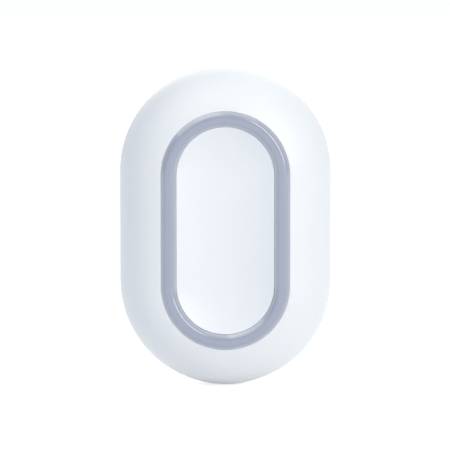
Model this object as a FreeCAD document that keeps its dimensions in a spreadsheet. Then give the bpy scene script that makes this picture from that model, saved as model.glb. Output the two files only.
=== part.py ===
import FreeCAD, Part
import math
import os
import Sketcher

# A wearable or wall-fixed alarm button: a white domed case with round ends, a translucent ring round a
# long dished button, and a round coin-slot battery door in the back.
#
# The part stands as it is worn: +Z up, +X to the right as seen from the front. The back lies in the
# plane y = 0 and the front faces -Y. "Depth" below is the distance in front of the back, so depth = -y.
# The origin is the middle of the back. All lengths are in millimetres, and angles in degrees.

Vector = FreeCAD.Vector

SIZES = {
    # Case
    "case_width": 40.0,            # across the straight sides
    "end_spacing": 20.6,           # between the centres of the two round ends
    "parting_depth": 2.8,          # back to the joint between the two shells
    "rear_edge_radius": 2.4,       # rounding of the rear cover's outer edge
    "shell_rim": 0.4,              # straight stretch of the front shell at the joint
    "dome_radius": 11.6,           # rounding from the rim to the crown of the front shell
    "shell_wall": 1.7,             # wall of the front shell
    "plate_wall": 1.6,             # floor of the rear cover
    "joint_bevel": 0.15,           # bevel of both shells where they meet outside
    "join_lap": 0.4,               # how far legs, stems, ribs and pillars run into what carries them
    "channel_edge": 0.08,          # bevel of the front shell beside the light ring
    # Light ring and its channel
    "ring_width": 24.0,            # outside, across the straight sides
    "ring_band": 2.8,              # from the ring's outer to its inner wall
    "ring_height": 1.9,            # from its seat to its flat top
    "ring_proud": 0.62,            # top of the ring in front of the dome's edge beside it
    "ring_slope_width": 0.8,       # sloping sides of the ring, across the band
    "ring_slope_height": 0.6,
    "ring_edge": 0.4,              # rounding between the ring's top and its slopes
    "ring_fit": 0.02,              # round the ring in its channel
    "ledge_wall": 1.2,             # thickness of the ledge that carries the ring
    "leg_length": 2.2,             # light leg, along the straight side
    "leg_width": 1.1,              # light leg, across the band
    "leg_inset": 0.25,             # outer face of a leg, inside the ring's outer wall
    "leg_half_spacing": 7.0,       # from the middle to each pair of light legs
    "slot_fit": 0.1,               # round each leg in its slot
    "led_gap": 0.35,               # end of a leg to the diode behind it
    # Button
    "button_gap": 0.06,            # round the button, inside the light ring
    "button_inset": 0.7,           # rim of the button behind the ring's top
    "dish_radius": 23.0,           # hollow across the button
    "button_edge": 0.12,           # rounding of the button's rim
    "button_wall": 1.3,            # skirt of the button
    "button_floor": 1.2,           # thickness behind the deepest line of the dish
    "button_travel": 0.5,          # stroke
    "flange_reach": 1.2,           # flange outside the skirt
    "flange_wall": 0.7,            # thickness of the flange
    "gasket_wall": 0.75,           # thickness of the soft ring on the flange
    "gasket_gap": 0.05,            # gasket to ledge at rest
    "gasket_fit": 0.1,             # gasket inside the flange's edge and off the skirt
    "ledge_fit": 0.25,             # ledge round the button's skirt
    "stem_radius": 1.6,            # stems that press the switches
    "stem_gap": 0.05,              # stem to plunger at rest
    "rib_wall": 0.9,               # ribs behind the button
    "rib_height": 1.1,             # height of those ribs
    "rib_gap": 0.2,                # from a stem to the rib beside it
    # Shell joint
    "lip_height": 1.6,             # rear cover's lip, in front of the joint
    "lip_wall": 1.2,
    "lip_fit": 0.25,               # lip inside the front shell's wall
    "seal_width": 0.8,             # groove for the case seal
    "seal_height": 0.8,
    "seal_inset": 0.6,             # outer edge of the groove from the outside of the case
    # Circuit board
    "board_depth": 6.0,            # back face of the board
    "board_wall": 1.0,
    "board_edge_gap": 1.7,         # edge of the board inside the shell wall's inner side
    # Screws, two round each end
    "screw_reach": 13.0,           # from the centre of a round end
    "screw_angle": 45.0,
    "screw_radius": 1.0,
    "screw_fit": 0.15,             # shank in the pillar and the board
    "screw_bite": 0.2,             # thread cut into the wall of the boss
    "screw_length": 8.0,           # under the head
    "screw_head_radius": 1.85,
    "screw_head_height": 1.3,
    "screw_head_sink": 0.4,        # head behind the back face of the cover
    "counterbore_fit": 0.2,
    "boss_radius": 2.2,
    "boss_cover": 0.85,            # dome in front of a boss, at the boss's outer side
    "pillar_radius": 2.4,
    "screw_end_gap": 0.5,          # depth of the boss past the screw's end
    # Battery door
    "door_radius": 14.0,           # flange
    "door_fit": 0.25,              # round the flange and the hub
    "door_sink": 0.25,             # face of the door in front of the back plane
    "door_flange_wall": 1.1,
    "door_flange_gap": 0.15,       # flange to the seat in the rear cover
    "door_floor": 1.5,             # plate of the door
    "door_edge": 0.25,             # bevel of the door's face
    "door_hub_wall": 0.75,
    "door_hub_height": 3.05,       # face of the door to the end of its hub
    "door_seat_wall": 1.0,         # rear cover in front of the door's seat
    "door_seat_land": 1.55,        # thickened ring of the cover outside the door's recess
    "lug_reach": 1.35,             # bayonet lugs outside the hub
    "lug_angle": 20.0,
    "lug_fit": 0.15,               # lug to the face that it locks behind
    "lug_wall": 0.6,
    "notch_fit_angle": 4.0,        # how much wider each notch is than its lug
    "door_turn": 40.0,             # from locked to free
    "stop_angle": 5.0,             # width of a stop rib
    "stop_gap_angle": 0.5,         # lug to stop at each limit
    "door_seal_width": 0.64,       # square ring under the flange
    "door_seal_height": 0.64,
    "door_seal_inset": 0.35,       # seal's groove inside the flange's edge
    "door_seal_gap": 0.03,
    "coin_slot_length": 13.0,
    "coin_slot_width": 1.8,
    "coin_slot_depth": 0.8,
    # Coin cell, holder and contacts
    "cell_radius": 10.0,
    "cell_height": 3.2,
    "cell_cap_radius": 8.8,
    "cell_step": 0.35,             # smaller cap in front of the can
    "cell_edge": 0.35,             # rounding of the can
    "cell_door_gap": 0.25,         # door's plate to the cell
    "cell_hub_gap": 0.35,          # hub of the door round the cell
    "holder_fit": 0.25,            # holder round the cell
    "holder_wall": 1.6,
    "holder_height": 2.25,         # from the board's back
    "holder_window": 6.2,          # opening for the positive contact
    "finger_width": 9.3,           # notch opposite, to lift the cell out
    "finger_depth": 1.1,
    "peg_radius": 0.6,
    "peg_fit": 0.05,
    "peg_reach": 0.8,              # pegs past the board's back face
    "contact_wall": 0.2,
    "positive_width": 5.4,
    "positive_lean": 0.4,          # foot of the blade outside the cell's rim
    "positive_foot": 1.6,          # soldered foot past the holder
    "negative_width": 3.4,
    "negative_length": 13.0,
    "negative_foot": 2.2,          # soldered foot at each end
    "negative_crest": 2.6,         # flat that bears on the cell
    # Push switches
    "switch_half_spacing": 8.0,    # from the middle to each switch
    "switch_width": 5.2,
    "switch_base_height": 1.7,
    "switch_well_radius": 2.1,
    "switch_plate_wall": 0.2,
    "tab_width": 2.6,              # side tabs of the cover plate
    "tab_gap": 0.55,               # board to a tab
    "plunger_radius": 1.3,
    "plunger_fit": 0.08,
    "plunger_flange": 0.45,
    "plunger_flange_wall": 0.4,
    "plunger_proud": 0.35,         # plunger above its cover plate when pressed
    "plunger_play": 0.1,           # flange to the cover plate and to the dome
    "plunger_edge": 0.2,           # bevel of the tip
    "dome_wall": 0.1,
    "dome_gap": 0.05,              # flattened dome to the plunger
    "dome_fit": 0.15,
    # Other parts on the board
    "led_width": 1.25,
    "led_length": 2.0,
    "led_height": 0.75,
    "led_edge": 0.19,
    "chip_width": 6.0,
    "chip_height": 0.9,
    "chip_edge": 0.1,
    "can_width": 9.0,
    "can_length": 8.0,
    "can_height": 1.8,
    "can_wall": 0.2,
    "can_edge": 0.4,
    "crystal_width": 3.2,
    "crystal_length": 2.5,
    "crystal_height": 0.8,
    "crystal_edge": 0.2,
    "part_gap": 1.0,               # from a switch to the part beside it
    "antenna_inset": 1.2,          # outer face of the strip inside the board's edge
    "antenna_wall": 0.3,
    "antenna_height": 2.2,
    "antenna_half_angle": 28.0,
    "antenna_foot": 1.2,           # reach of each soldered foot inside the strip
    "antenna_foot_angle": 6.0,
}

doc = FreeCAD.newDocument("AlarmButton")
sheet = doc.addObject("Spreadsheet::Sheet", "Sizes")
for row, (name, size) in enumerate(SIZES.items(), start=1):
    sheet.set(f"A{row}", name)
    sheet.set(f"B{row}", str(size))
    sheet.setAlias(f"B{row}", name)
doc.recompute()


def value(expression):
    result = sheet.evalExpression(str(expression))
    return float(getattr(result, "Value", result))


def dome_depth(half_width):
    # Depth of the case's outer face at a distance from the middle, across the straight sides.
    return f"({DOME_START} + sqrt(Sizes.dome_radius^2 - ({half_width} - {DOME_CENTRE})^2))"


# Sizes and depths that follow from the cells above

CASE_HALF = "Sizes.case_width / 2"
DOME_CENTRE = f"({CASE_HALF} - Sizes.dome_radius)"
HALF_SPACING = "Sizes.end_spacing / 2"
DOME_START = "(Sizes.parting_depth + Sizes.shell_rim)"
CROWN_DEPTH = f"({DOME_START} + Sizes.dome_radius)"
RING_HALF = "(Sizes.ring_width / 2)"
RING_BORE = f"({RING_HALF} - Sizes.ring_band)"
RING_TOP = f"({dome_depth(RING_HALF)} + Sizes.ring_proud)"
RING_SEAT = f"({RING_TOP} - Sizes.ring_height)"
LEDGE_BACK = f"({RING_SEAT} - Sizes.ledge_wall)"
CHANNEL_HALF = f"({RING_HALF} + Sizes.ring_fit)"
LEG_X = f"({RING_HALF} - Sizes.leg_inset - Sizes.leg_width / 2)"
SHELL_INNER_HALF = f"({CASE_HALF} - Sizes.shell_wall)"

PLATE_TOP = "(Sizes.switch_base_height + Sizes.switch_plate_wall)"
PLUNGER_TIP = f"({PLATE_TOP} + Sizes.button_travel + Sizes.plunger_proud)"
PLUNGER_FLANGE_TOP = "(Sizes.switch_base_height - Sizes.plunger_play)"
PLUNGER_FLANGE_LOW = f"({PLUNGER_FLANGE_TOP} - Sizes.plunger_flange_wall)"
WELL_FLOOR = f"({PLUNGER_FLANGE_LOW} - Sizes.button_travel - Sizes.dome_wall - Sizes.dome_gap)"

BUTTON_HALF = f"({RING_BORE} - Sizes.button_gap)"
OPENING_HALF = f"({BUTTON_HALF} + Sizes.ledge_fit)"
BUTTON_RIM = f"({RING_TOP} - Sizes.button_inset)"
DISH_SAG = f"(Sizes.dish_radius - sqrt(Sizes.dish_radius^2 - {BUTTON_HALF}^2))"
DISH_DEPTH = f"({BUTTON_RIM} - {DISH_SAG})"
CAP_INSIDE = f"({DISH_DEPTH} - Sizes.button_floor)"
FLANGE_FRONT = f"({LEDGE_BACK} - Sizes.gasket_gap - Sizes.gasket_wall)"
FLANGE_BACK = f"({FLANGE_FRONT} - Sizes.flange_wall)"
FLANGE_HALF = f"({BUTTON_HALF} + Sizes.flange_reach)"

BOARD_FRONT = "(Sizes.board_depth + Sizes.board_wall)"
BOARD_HALF = f"({SHELL_INNER_HALF} - Sizes.board_edge_gap)"
BESIDE_SWITCH = "(Sizes.switch_half_spacing + Sizes.switch_width / 2 + Sizes.part_gap)"
STEM_END = f"({BOARD_FRONT} + {PLUNGER_TIP} + Sizes.stem_gap)"
RIB_OFFSET = "(Sizes.switch_half_spacing + Sizes.stem_radius + Sizes.rib_gap + Sizes.rib_wall / 2)"
SCREW_OUT = "(Sizes.screw_reach * cos(Sizes.screw_angle))"
SCREW_UP = f"({HALF_SPACING} + Sizes.screw_reach * sin(Sizes.screw_angle))"
BOSS_END = f"({dome_depth('Sizes.screw_reach + Sizes.boss_radius')} - Sizes.boss_cover)"
SHANK_HOLE = "(Sizes.screw_radius + Sizes.screw_fit)"
THREAD_HOLE = "(Sizes.screw_radius - Sizes.screw_bite)"
SCREW_SEAT = "(Sizes.screw_head_sink + Sizes.screw_head_height)"
SCREW_END = f"({SCREW_SEAT} + Sizes.screw_length)"
THREAD_END = f"({SCREW_END} + Sizes.screw_end_gap)"
LIP_HALF = f"({SHELL_INNER_HALF} - Sizes.lip_fit)"
LIP_INNER_HALF = f"({LIP_HALF} - Sizes.lip_wall)"
SEAL_HALF = f"({CASE_HALF} - Sizes.seal_inset)"

DOOR_INSIDE = "(Sizes.door_sink + Sizes.door_floor)"
DOOR_FLANGE_FRONT = "(Sizes.door_sink + Sizes.door_flange_wall)"
DOOR_SEAT = f"({DOOR_FLANGE_FRONT} + Sizes.door_flange_gap)"
DOOR_LOCK_FACE = f"({DOOR_SEAT} + Sizes.door_seat_wall)"
LUG_BACK = f"({DOOR_LOCK_FACE} + Sizes.lug_fit)"
LUG_FRONT = f"({LUG_BACK} + Sizes.lug_wall)"
DOOR_HUB_END = "(Sizes.door_sink + Sizes.door_hub_height)"
DOOR_HUB_BORE = "(Sizes.cell_radius + Sizes.cell_hub_gap)"
DOOR_HUB = f"({DOOR_HUB_BORE} + Sizes.door_hub_wall)"
DOOR_RECESS = "(Sizes.door_radius + Sizes.door_fit)"
DOOR_HOLE = f"({DOOR_HUB} + Sizes.door_fit)"
LUG_TIP = f"({DOOR_HUB} + Sizes.lug_reach)"
DOOR_SEAL_OUTER = "(Sizes.door_radius - Sizes.door_seal_inset)"
DOOR_SEAL_INNER = f"({DOOR_SEAL_OUTER} - Sizes.door_seal_width)"
DOOR_SEAL_FRONT = f"({DOOR_SEAT} - Sizes.door_seal_gap)"
DOOR_SEAL_BACK = f"({DOOR_SEAL_FRONT} - Sizes.door_seal_height)"
TURN_SIGN = "-1"                   # seen from the front, the door opens clockwise
NOTCH_ANGLE = f"(90 + {TURN_SIGN} * Sizes.door_turn)"
CELL_BACK = f"({DOOR_INSIDE} + Sizes.cell_door_gap)"
CELL_FRONT = f"({CELL_BACK} + Sizes.cell_height)"
HOLDER_BORE = "(Sizes.cell_radius + Sizes.holder_fit)"
HOLDER_OUTER = f"({HOLDER_BORE} + Sizes.holder_wall)"
HOLDER_MIDDLE = f"({HOLDER_BORE} + Sizes.holder_wall / 2)"

SAME_PLACE = 1e-4                  # lengths that differ by less are taken as the same
LEAST_CUT = 1e-6                   # volume that a cut takes away at the least


# Drawing helpers

def new_body(label):
    body = doc.addObject("PartDesign::Body", label)
    body.Label = label
    return body


def origin_plane(body, role):
    return next(item for item in body.Origin.OriginFeatures if item.Role == role)


def front_sketch(body, name, depth):
    # A sketch that faces the front at a depth: its x is +X and its y is +Z.
    sketch = body.newObject("Sketcher::SketchObject", name)
    sketch.AttachmentSupport = [(origin_plane(body, "XZ_Plane"), "")]
    sketch.MapMode = "FlatFace"
    sketch.setExpression("AttachmentOffset.Base.z", str(depth))
    return sketch


def section_sketch(body, name, height="0"):
    # A section seen from above at a height: its x is +X and its y is +Y.
    sketch = body.newObject("Sketcher::SketchObject", name)
    sketch.AttachmentSupport = [(origin_plane(body, "XY_Plane"), "")]
    sketch.MapMode = "FlatFace"
    sketch.setExpression("AttachmentOffset.Base.z", height)
    return sketch


def bind(sketch, kind, *references_and_expression):
    *references, expression = references_and_expression
    number = value(expression)
    constraint = sketch.addConstraint(Sketcher.Constraint(kind, *references, number))
    sketch.setExpression(f"Constraints[{constraint}]", str(expression))


def fix_point(sketch, geometry, point, x, y):
    # Ties one point of a shape to its two coordinates, or to an axis where a coordinate is zero.
    for kind, expression, axis in (("DistanceX", x, -2), ("DistanceY", y, -1)):
        if abs(value(expression)) < SAME_PLACE:
            sketch.addConstraint(Sketcher.Constraint("PointOnObject", geometry, point, axis))
        else:
            bind(sketch, kind, -1, 1, geometry, point, expression)


def add_stadium(sketch, half_width):
    # Two half circles joined by two straight sides, round the ends' common centres.
    radius = value(half_width)
    reach = value(HALF_SPACING)
    top, left, bottom, right = sketch.addGeometry([
        Part.ArcOfCircle(Part.Circle(Vector(0, reach, 0), Vector(0, 0, 1), radius), 0, math.pi),
        Part.LineSegment(Vector(-radius, reach, 0), Vector(-radius, -reach, 0)),
        Part.ArcOfCircle(Part.Circle(Vector(0, -reach, 0), Vector(0, 0, 1), radius), math.pi, 2 * math.pi),
        Part.LineSegment(Vector(radius, -reach, 0), Vector(radius, reach, 0)),
    ], False)
    for first, second in ((top, left), (left, bottom), (bottom, right), (right, top)):
        sketch.addConstraint(Sketcher.Constraint("Tangent", first, 2, second, 1))
    sketch.addConstraint(Sketcher.Constraint("Equal", top, bottom))
    sketch.addConstraint(Sketcher.Constraint("PointOnObject", top, 3, -2))
    sketch.addConstraint(Sketcher.Constraint("Symmetric", top, 3, bottom, 3, -1, 1))
    bind(sketch, "Radius", top, half_width)
    bind(sketch, "DistanceY", bottom, 3, top, 3, "Sizes.end_spacing")


def add_circle(sketch, radius, x="0", y="0"):
    centre = Vector(value(x), value(y), 0)
    circle = sketch.addGeometry(Part.Circle(centre, Vector(0, 0, 1), value(radius)), False)
    bind(sketch, "Radius", circle, radius)
    if centre.Length < SAME_PLACE:
        sketch.addConstraint(Sketcher.Constraint("Coincident", circle, 3, -1, 1))
    else:
        fix_point(sketch, circle, 3, x, y)


def add_arc(sketch, centre, radius, start, end):
    # The shorter arc between two places. Gives its number and which of its ends each place is.
    first, last = (math.atan2(place.y - centre.y, place.x - centre.x) for place in (start, end))
    ends = (1, 2)
    if (last - first) % (2 * math.pi) > math.pi:
        first, last = last, first
        ends = (2, 1)
    circle = Part.Circle(centre, Vector(0, 0, 1), value(radius))
    arc = sketch.addGeometry(Part.ArcOfCircle(circle, first, last), False)
    bind(sketch, "Radius", arc, radius)
    return arc, *ends


def add_outline(sketch, points, arcs=None):
    # A closed outline through points given as pairs of expressions. Its runs are straight, apart from
    # those that arcs names by their first point, with a centre and a radius.
    arcs = arcs or {}
    places = [Vector(value(x), value(y), 0) for x, y in points]
    runs = []
    for number, (start, end) in enumerate(zip(places, places[1:] + places[:1])):
        if number in arcs:
            (x, y), radius = arcs[number]
            runs.append(add_arc(sketch, Vector(value(x), value(y), 0), radius, start, end))
        else:
            runs.append((sketch.addGeometry(Part.LineSegment(start, end), False), 1, 2))
    for (run, _, run_end), (following, its_start, _) in zip(runs, runs[1:] + runs[:1]):
        sketch.addConstraint(Sketcher.Constraint("Coincident", run, run_end, following, its_start))
    for (run, run_start, _), (x, y) in zip(runs, points):
        fix_point(sketch, run, run_start, x, y)


def add_rectangle(sketch, width, height, x="0", y="0"):
    left, right = f"({x}) - ({width}) / 2", f"({x}) + ({width}) / 2"
    low, high = f"({y}) - ({height}) / 2", f"({y}) + ({height}) / 2"
    add_outline(sketch, [(left, low), (right, low), (right, high), (left, high)])


def add_slot(sketch, length, radius):
    # A level slot with round ends, about the origin.
    reach = value(f"({length}) / 2 - ({radius})")
    round_radius = value(radius)
    up = Vector(0, 0, 1)
    right, top, left, low = sketch.addGeometry([
        Part.ArcOfCircle(Part.Circle(Vector(reach, 0, 0), up, round_radius), -math.pi / 2, math.pi / 2),
        Part.LineSegment(Vector(reach, round_radius, 0), Vector(-reach, round_radius, 0)),
        Part.ArcOfCircle(Part.Circle(Vector(-reach, 0, 0), up, round_radius), math.pi / 2, 1.5 * math.pi),
        Part.LineSegment(Vector(-reach, -round_radius, 0), Vector(reach, -round_radius, 0)),
    ], False)
    for first, second in ((right, top), (top, left), (left, low), (low, right)):
        sketch.addConstraint(Sketcher.Constraint("Tangent", first, 2, second, 1))
    sketch.addConstraint(Sketcher.Constraint("Equal", right, left))
    sketch.addConstraint(Sketcher.Constraint("PointOnObject", right, 3, -1))
    sketch.addConstraint(Sketcher.Constraint("Symmetric", right, 3, left, 3, -1, 1))
    bind(sketch, "Radius", right, radius)
    bind(sketch, "DistanceX", left, 3, right, 3, f"({length}) - 2 * ({radius})")


def add_sector(sketch, inner, outer, middle, width):
    # A piece of a flat ring between two radii, about the origin. Both angles are in degrees.
    sides = [f"{middle} - ({width}) / 2", f"{middle} + ({width}) / 2"]
    start, end = (math.radians(value(side)) for side in sides)
    inner_arc, outer_arc = sketch.addGeometry([
        Part.ArcOfCircle(Part.Circle(Vector(), Vector(0, 0, 1), value(radius)), start, end)
        for radius in (inner, outer)
    ], False)
    for arc, radius in ((inner_arc, inner), (outer_arc, outer)):
        sketch.addConstraint(Sketcher.Constraint("Coincident", arc, 3, -1, 1))
        bind(sketch, "Radius", arc, radius)
    for arc_end, side, angle in ((1, sides[0], start), (2, sides[1], end)):
        ray = Vector(math.cos(angle), math.sin(angle), 0)
        line = sketch.addGeometry(Part.LineSegment(ray * value(inner), ray * value(outer)), False)
        sketch.addConstraint(Sketcher.Constraint("Coincident", inner_arc, arc_end, line, 1))
        sketch.addConstraint(Sketcher.Constraint("Coincident", outer_arc, arc_end, line, 2))
        sketch.addConstraint(Sketcher.Constraint("PointOnObject", -1, 1, line))
        constraint = sketch.addConstraint(Sketcher.Constraint("Angle", line, angle))
        sketch.setExpression(f"Constraints[{constraint}]", f"{side}")


def pad(body, name, sketch, length, mirrored=False):
    # Builds towards the front from the sketch, or to both sides of it.
    feature = body.newObject("PartDesign::Pad", name)
    feature.Profile = sketch
    feature.Midplane = mirrored
    feature.setExpression("Length", str(length))
    doc.recompute()
    return feature


def cut(body, name, sketch, length=None, towards_front=False, mirrored=False):
    # Cuts towards the back unless told otherwise, and right through where no length is given.
    before = body.Shape.Volume
    feature = body.newObject("PartDesign::Pocket", name)
    feature.Profile = sketch
    feature.Reversed = towards_front
    feature.Midplane = mirrored
    if length is None:
        feature.Type = "ThroughAll"
    else:
        feature.setExpression("Length", str(length))
    doc.recompute()
    if not body.Shape.Volume < before - LEAST_CUT:
        raise ValueError(f"{name} cuts nothing")
    return feature


def turn(body, name, sketch, kind="PartDesign::Revolution", angle=360.0, reverse=False):
    feature = body.newObject(kind, name)
    feature.Profile = sketch
    feature.ReferenceAxis = (sketch, ["V_Axis"])
    feature.Angle = angle
    feature.Reversed = reverse
    doc.recompute()
    return feature


def pattern(body, name, features, count):
    # Copies of features spread evenly round the Y axis.
    feature = body.newObject("PartDesign::PolarPattern", name)
    feature.Originals = features
    feature.Axis = (origin_plane(body, "Y_Axis"), [""])
    feature.Angle = 360.0
    feature.Occurrences = count
    body.Tip = feature
    doc.recompute()
    return feature


def mirror(body, name, features, role):
    feature = body.newObject("PartDesign::Mirrored", name)
    feature.Originals = features
    feature.MirrorPlane = (origin_plane(body, role), [""])
    body.Tip = feature
    doc.recompute()
    return feature


def edges_at(shape, depth):
    # Names of the edges that lie wholly at one depth.
    names = []
    for number, edge in enumerate(shape.Edges, start=1):
        box = edge.BoundBox
        if max(abs(box.YMin + depth), abs(box.YMax + depth)) < SAME_PLACE:
            names.append(f"Edge{number}")
    return names


def round_edges(body, name, base, edges, radius, kind="PartDesign::Fillet"):
    if not edges:
        raise ValueError(f"{name} finds no edge")
    feature = body.newObject(kind, name)
    feature.Base = (base, edges)
    feature.setExpression("Radius" if kind.endswith("Fillet") else "Size", str(radius))
    doc.recompute()
    return feature


def hollow(body, name, base, faces, wall):
    # Leaves a wall of even thickness inside the outer form, open at the given faces.
    feature = body.newObject("PartDesign::Thickness", name)
    feature.Base = (base, faces)
    feature.Reversed = True
    feature.setExpression("Value", str(wall))
    doc.recompute()
    return feature


def faces_at(shape, depth):
    names = []
    for number, face in enumerate(shape.Faces, start=1):
        box = face.BoundBox
        if max(abs(box.YMin + depth), abs(box.YMax + depth)) < SAME_PLACE:
            names.append(f"Face{number}")
    return names


def move_to(body, x="0", depth="0", z="0"):
    # Places a piece that is drawn round its own origin.
    body.setExpression("Placement.Base.x", str(x))
    body.setExpression("Placement.Base.y", f"-({depth})")
    body.setExpression("Placement.Base.z", str(z))


SCREW_PLACES = [(f"{side} * {SCREW_OUT}", f"{end} * {SCREW_UP}") for side in (1, -1) for end in (1, -1)]
LEG_PLACES = {
    f"{level}_{side}": (f"{sign_x} * {LEG_X}", f"{sign_z} * Sizes.leg_half_spacing")
    for level, sign_z in (("upper", 1), ("lower", -1))
    for side, sign_x in (("right", 1), ("left", -1))
}
SWITCH_PLACES = {"upper": "Sizes.switch_half_spacing", "lower": "-Sizes.switch_half_spacing"}


# Case

def carry_round(body, name, outline, arcs):
    # Draws a wall's section out along the straight sides of the case and turns it round each end.
    side_section = section_sketch(body, f"{name}_side_section")
    end_section = section_sketch(body, f"{name}_end_section", HALF_SPACING)
    for section in (side_section, end_section):
        add_outline(section, outline, arcs)
    side = pad(body, f"{name}_side", side_section, "Sizes.end_spacing", mirrored=True)
    end = turn(body, f"{name}_end", end_section, angle=180.0, reverse=True)
    mirror(body, f"{name}_ends", [end], "XY_Plane")
    mirror(body, f"{name}_sides", [side], "YZ_Plane")


def make_front_shell():
    body = new_body("front_shell")
    bevel_half = f"({CHANNEL_HALF} + Sizes.channel_edge)"
    roof_radius = "(Sizes.dome_radius - Sizes.shell_wall)"
    roof_reach = f"sqrt({roof_radius}^2 - ({LEDGE_BACK} - {DOME_START})^2)"
    outline = [
        (SHELL_INNER_HALF, "-Sizes.parting_depth"),
        (f"({CASE_HALF} - Sizes.joint_bevel)", "-Sizes.parting_depth"),
        (CASE_HALF, "-(Sizes.parting_depth + Sizes.joint_bevel)"),
        (CASE_HALF, f"-{DOME_START}"),
        (bevel_half, f"-{dome_depth(bevel_half)}"),
        (CHANNEL_HALF, f"-({dome_depth(CHANNEL_HALF)} - Sizes.channel_edge)"),
        (CHANNEL_HALF, f"-{RING_SEAT}"),
        (OPENING_HALF, f"-{RING_SEAT}"),
        (OPENING_HALF, f"-{LEDGE_BACK}"),
        (f"({DOME_CENTRE} + {roof_reach})", f"-{LEDGE_BACK}"),
        (SHELL_INNER_HALF, f"-{DOME_START}"),
    ]
    dome_centre = (DOME_CENTRE, f"-{DOME_START}")
    arcs = {3: (dome_centre, "Sizes.dome_radius"), 9: (dome_centre, roof_radius)}
    carry_round(body, "shell", outline, arcs)
    bosses = front_sketch(body, "boss_circles", BOARD_FRONT)
    threads = front_sketch(body, "thread_circles", BOARD_FRONT)
    for x, z in SCREW_PLACES:
        add_circle(bosses, "Sizes.boss_radius", x, z)
        add_circle(threads, THREAD_HOLE, x, z)
    pad(body, "screw_bosses", bosses, f"{BOSS_END} - {BOARD_FRONT}")
    cut(body, "thread_holes", threads, f"{THREAD_END} - {BOARD_FRONT}", towards_front=True)
    slots = front_sketch(body, "slot_outlines", RING_SEAT)
    for x, z in LEG_PLACES.values():
        add_rectangle(slots, "Sizes.leg_width + 2 * Sizes.slot_fit",
                      "Sizes.leg_length + 2 * Sizes.slot_fit", x, z)
    cut(body, "leg_slots", slots, "Sizes.ledge_wall + Sizes.join_lap")
    return body


def make_rear_cover():
    body = new_body("rear_cover")
    outline = front_sketch(body, "cover_outline", "0")
    add_stadium(outline, CASE_HALF)
    block = pad(body, "cover_block", outline, "Sizes.parting_depth")
    back_edges = edges_at(block.Shape, 0.0)
    rounded = round_edges(body, "cover_edge", block, back_edges, "Sizes.rear_edge_radius")
    joint_edges = edges_at(rounded.Shape, value("Sizes.parting_depth"))
    round_edges(body, "cover_joint_edge", rounded, joint_edges, "Sizes.joint_bevel", "PartDesign::Chamfer")
    inside = front_sketch(body, "cover_inside", "Sizes.plate_wall")
    add_stadium(inside, LIP_INNER_HALF)
    cut(body, "cover_tray", inside, "Sizes.parting_depth", towards_front=True)
    lip = front_sketch(body, "lip_outline", "Sizes.parting_depth")
    add_stadium(lip, LIP_HALF)
    add_stadium(lip, LIP_INNER_HALF)
    pad(body, "cover_lip", lip, "Sizes.lip_height")
    groove = front_sketch(body, "groove_outline", "Sizes.parting_depth")
    add_stadium(groove, SEAL_HALF)
    add_stadium(groove, f"{SEAL_HALF} - Sizes.seal_width")
    cut(body, "seal_groove", groove, "Sizes.seal_height")
    seat = front_sketch(body, "seat_circle", "Sizes.plate_wall")
    add_circle(seat, f"{DOOR_RECESS} + Sizes.door_seat_land")
    pad(body, "seat_pad", seat, f"{DOOR_LOCK_FACE} - Sizes.plate_wall")
    pillars = front_sketch(body, "pillar_circles", "Sizes.plate_wall - Sizes.join_lap")
    for x, z in SCREW_PLACES:
        add_circle(pillars, "Sizes.pillar_radius", x, z)
    pad(body, "screw_pillars", pillars, "Sizes.board_depth - Sizes.plate_wall + Sizes.join_lap")
    recess = front_sketch(body, "recess_circle", DOOR_SEAT)
    add_circle(recess, DOOR_RECESS)
    cut(body, "door_recess", recess)
    bore = front_sketch(body, "bore_circle", DOOR_LOCK_FACE)
    add_circle(bore, DOOR_HOLE)
    cut(body, "door_bore", bore)
    heads = front_sketch(body, "head_circles", SCREW_SEAT)
    shanks = front_sketch(body, "shank_circles", "Sizes.board_depth")
    for x, z in SCREW_PLACES:
        add_circle(heads, "Sizes.screw_head_radius + Sizes.counterbore_fit", x, z)
        add_circle(shanks, SHANK_HOLE, x, z)
    cut(body, "counterbores", heads)
    cut(body, "shank_holes", shanks)
    notch = front_sketch(body, "notch_sector", DOOR_LOCK_FACE)
    add_sector(notch, f"{DOOR_HOLE} - Sizes.door_fit", f"{LUG_TIP} + Sizes.door_fit", NOTCH_ANGLE,
               "Sizes.lug_angle + Sizes.notch_fit_angle")
    first_notch = cut(body, "lug_notch", notch, f"{DOOR_LOCK_FACE} - {DOOR_SEAT}")
    pattern(body, "lug_notches", [first_notch], 3)
    offset = "((Sizes.lug_angle + Sizes.stop_angle) / 2 + Sizes.stop_gap_angle)"
    open_angle = f"({NOTCH_ANGLE} + {TURN_SIGN} * ({offset} + Sizes.notch_fit_angle / 2))"
    stops = []
    for name, middle in (("locked_stop", f"(90 - {TURN_SIGN} * {offset})"), ("open_stop", open_angle)):
        rib = front_sketch(body, f"{name}_sector", DOOR_LOCK_FACE)
        add_sector(rib, f"{DOOR_HOLE} + Sizes.lug_fit", f"{LUG_TIP} + Sizes.door_fit", middle,
                   "Sizes.stop_angle")
        stops.append(pad(body, name, rib, f"{LUG_FRONT} - {DOOR_LOCK_FACE}"))
    pattern(body, "stop_ribs", stops, 3)
    return body


def make_case_seal():
    body = new_body("case_seal")
    sketch = front_sketch(body, "seal_outline", "Sizes.parting_depth - Sizes.seal_height")
    add_stadium(sketch, SEAL_HALF)
    add_stadium(sketch, f"{SEAL_HALF} - Sizes.seal_width")
    pad(body, "seal_ring", sketch, "Sizes.seal_height")
    return body


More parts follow.
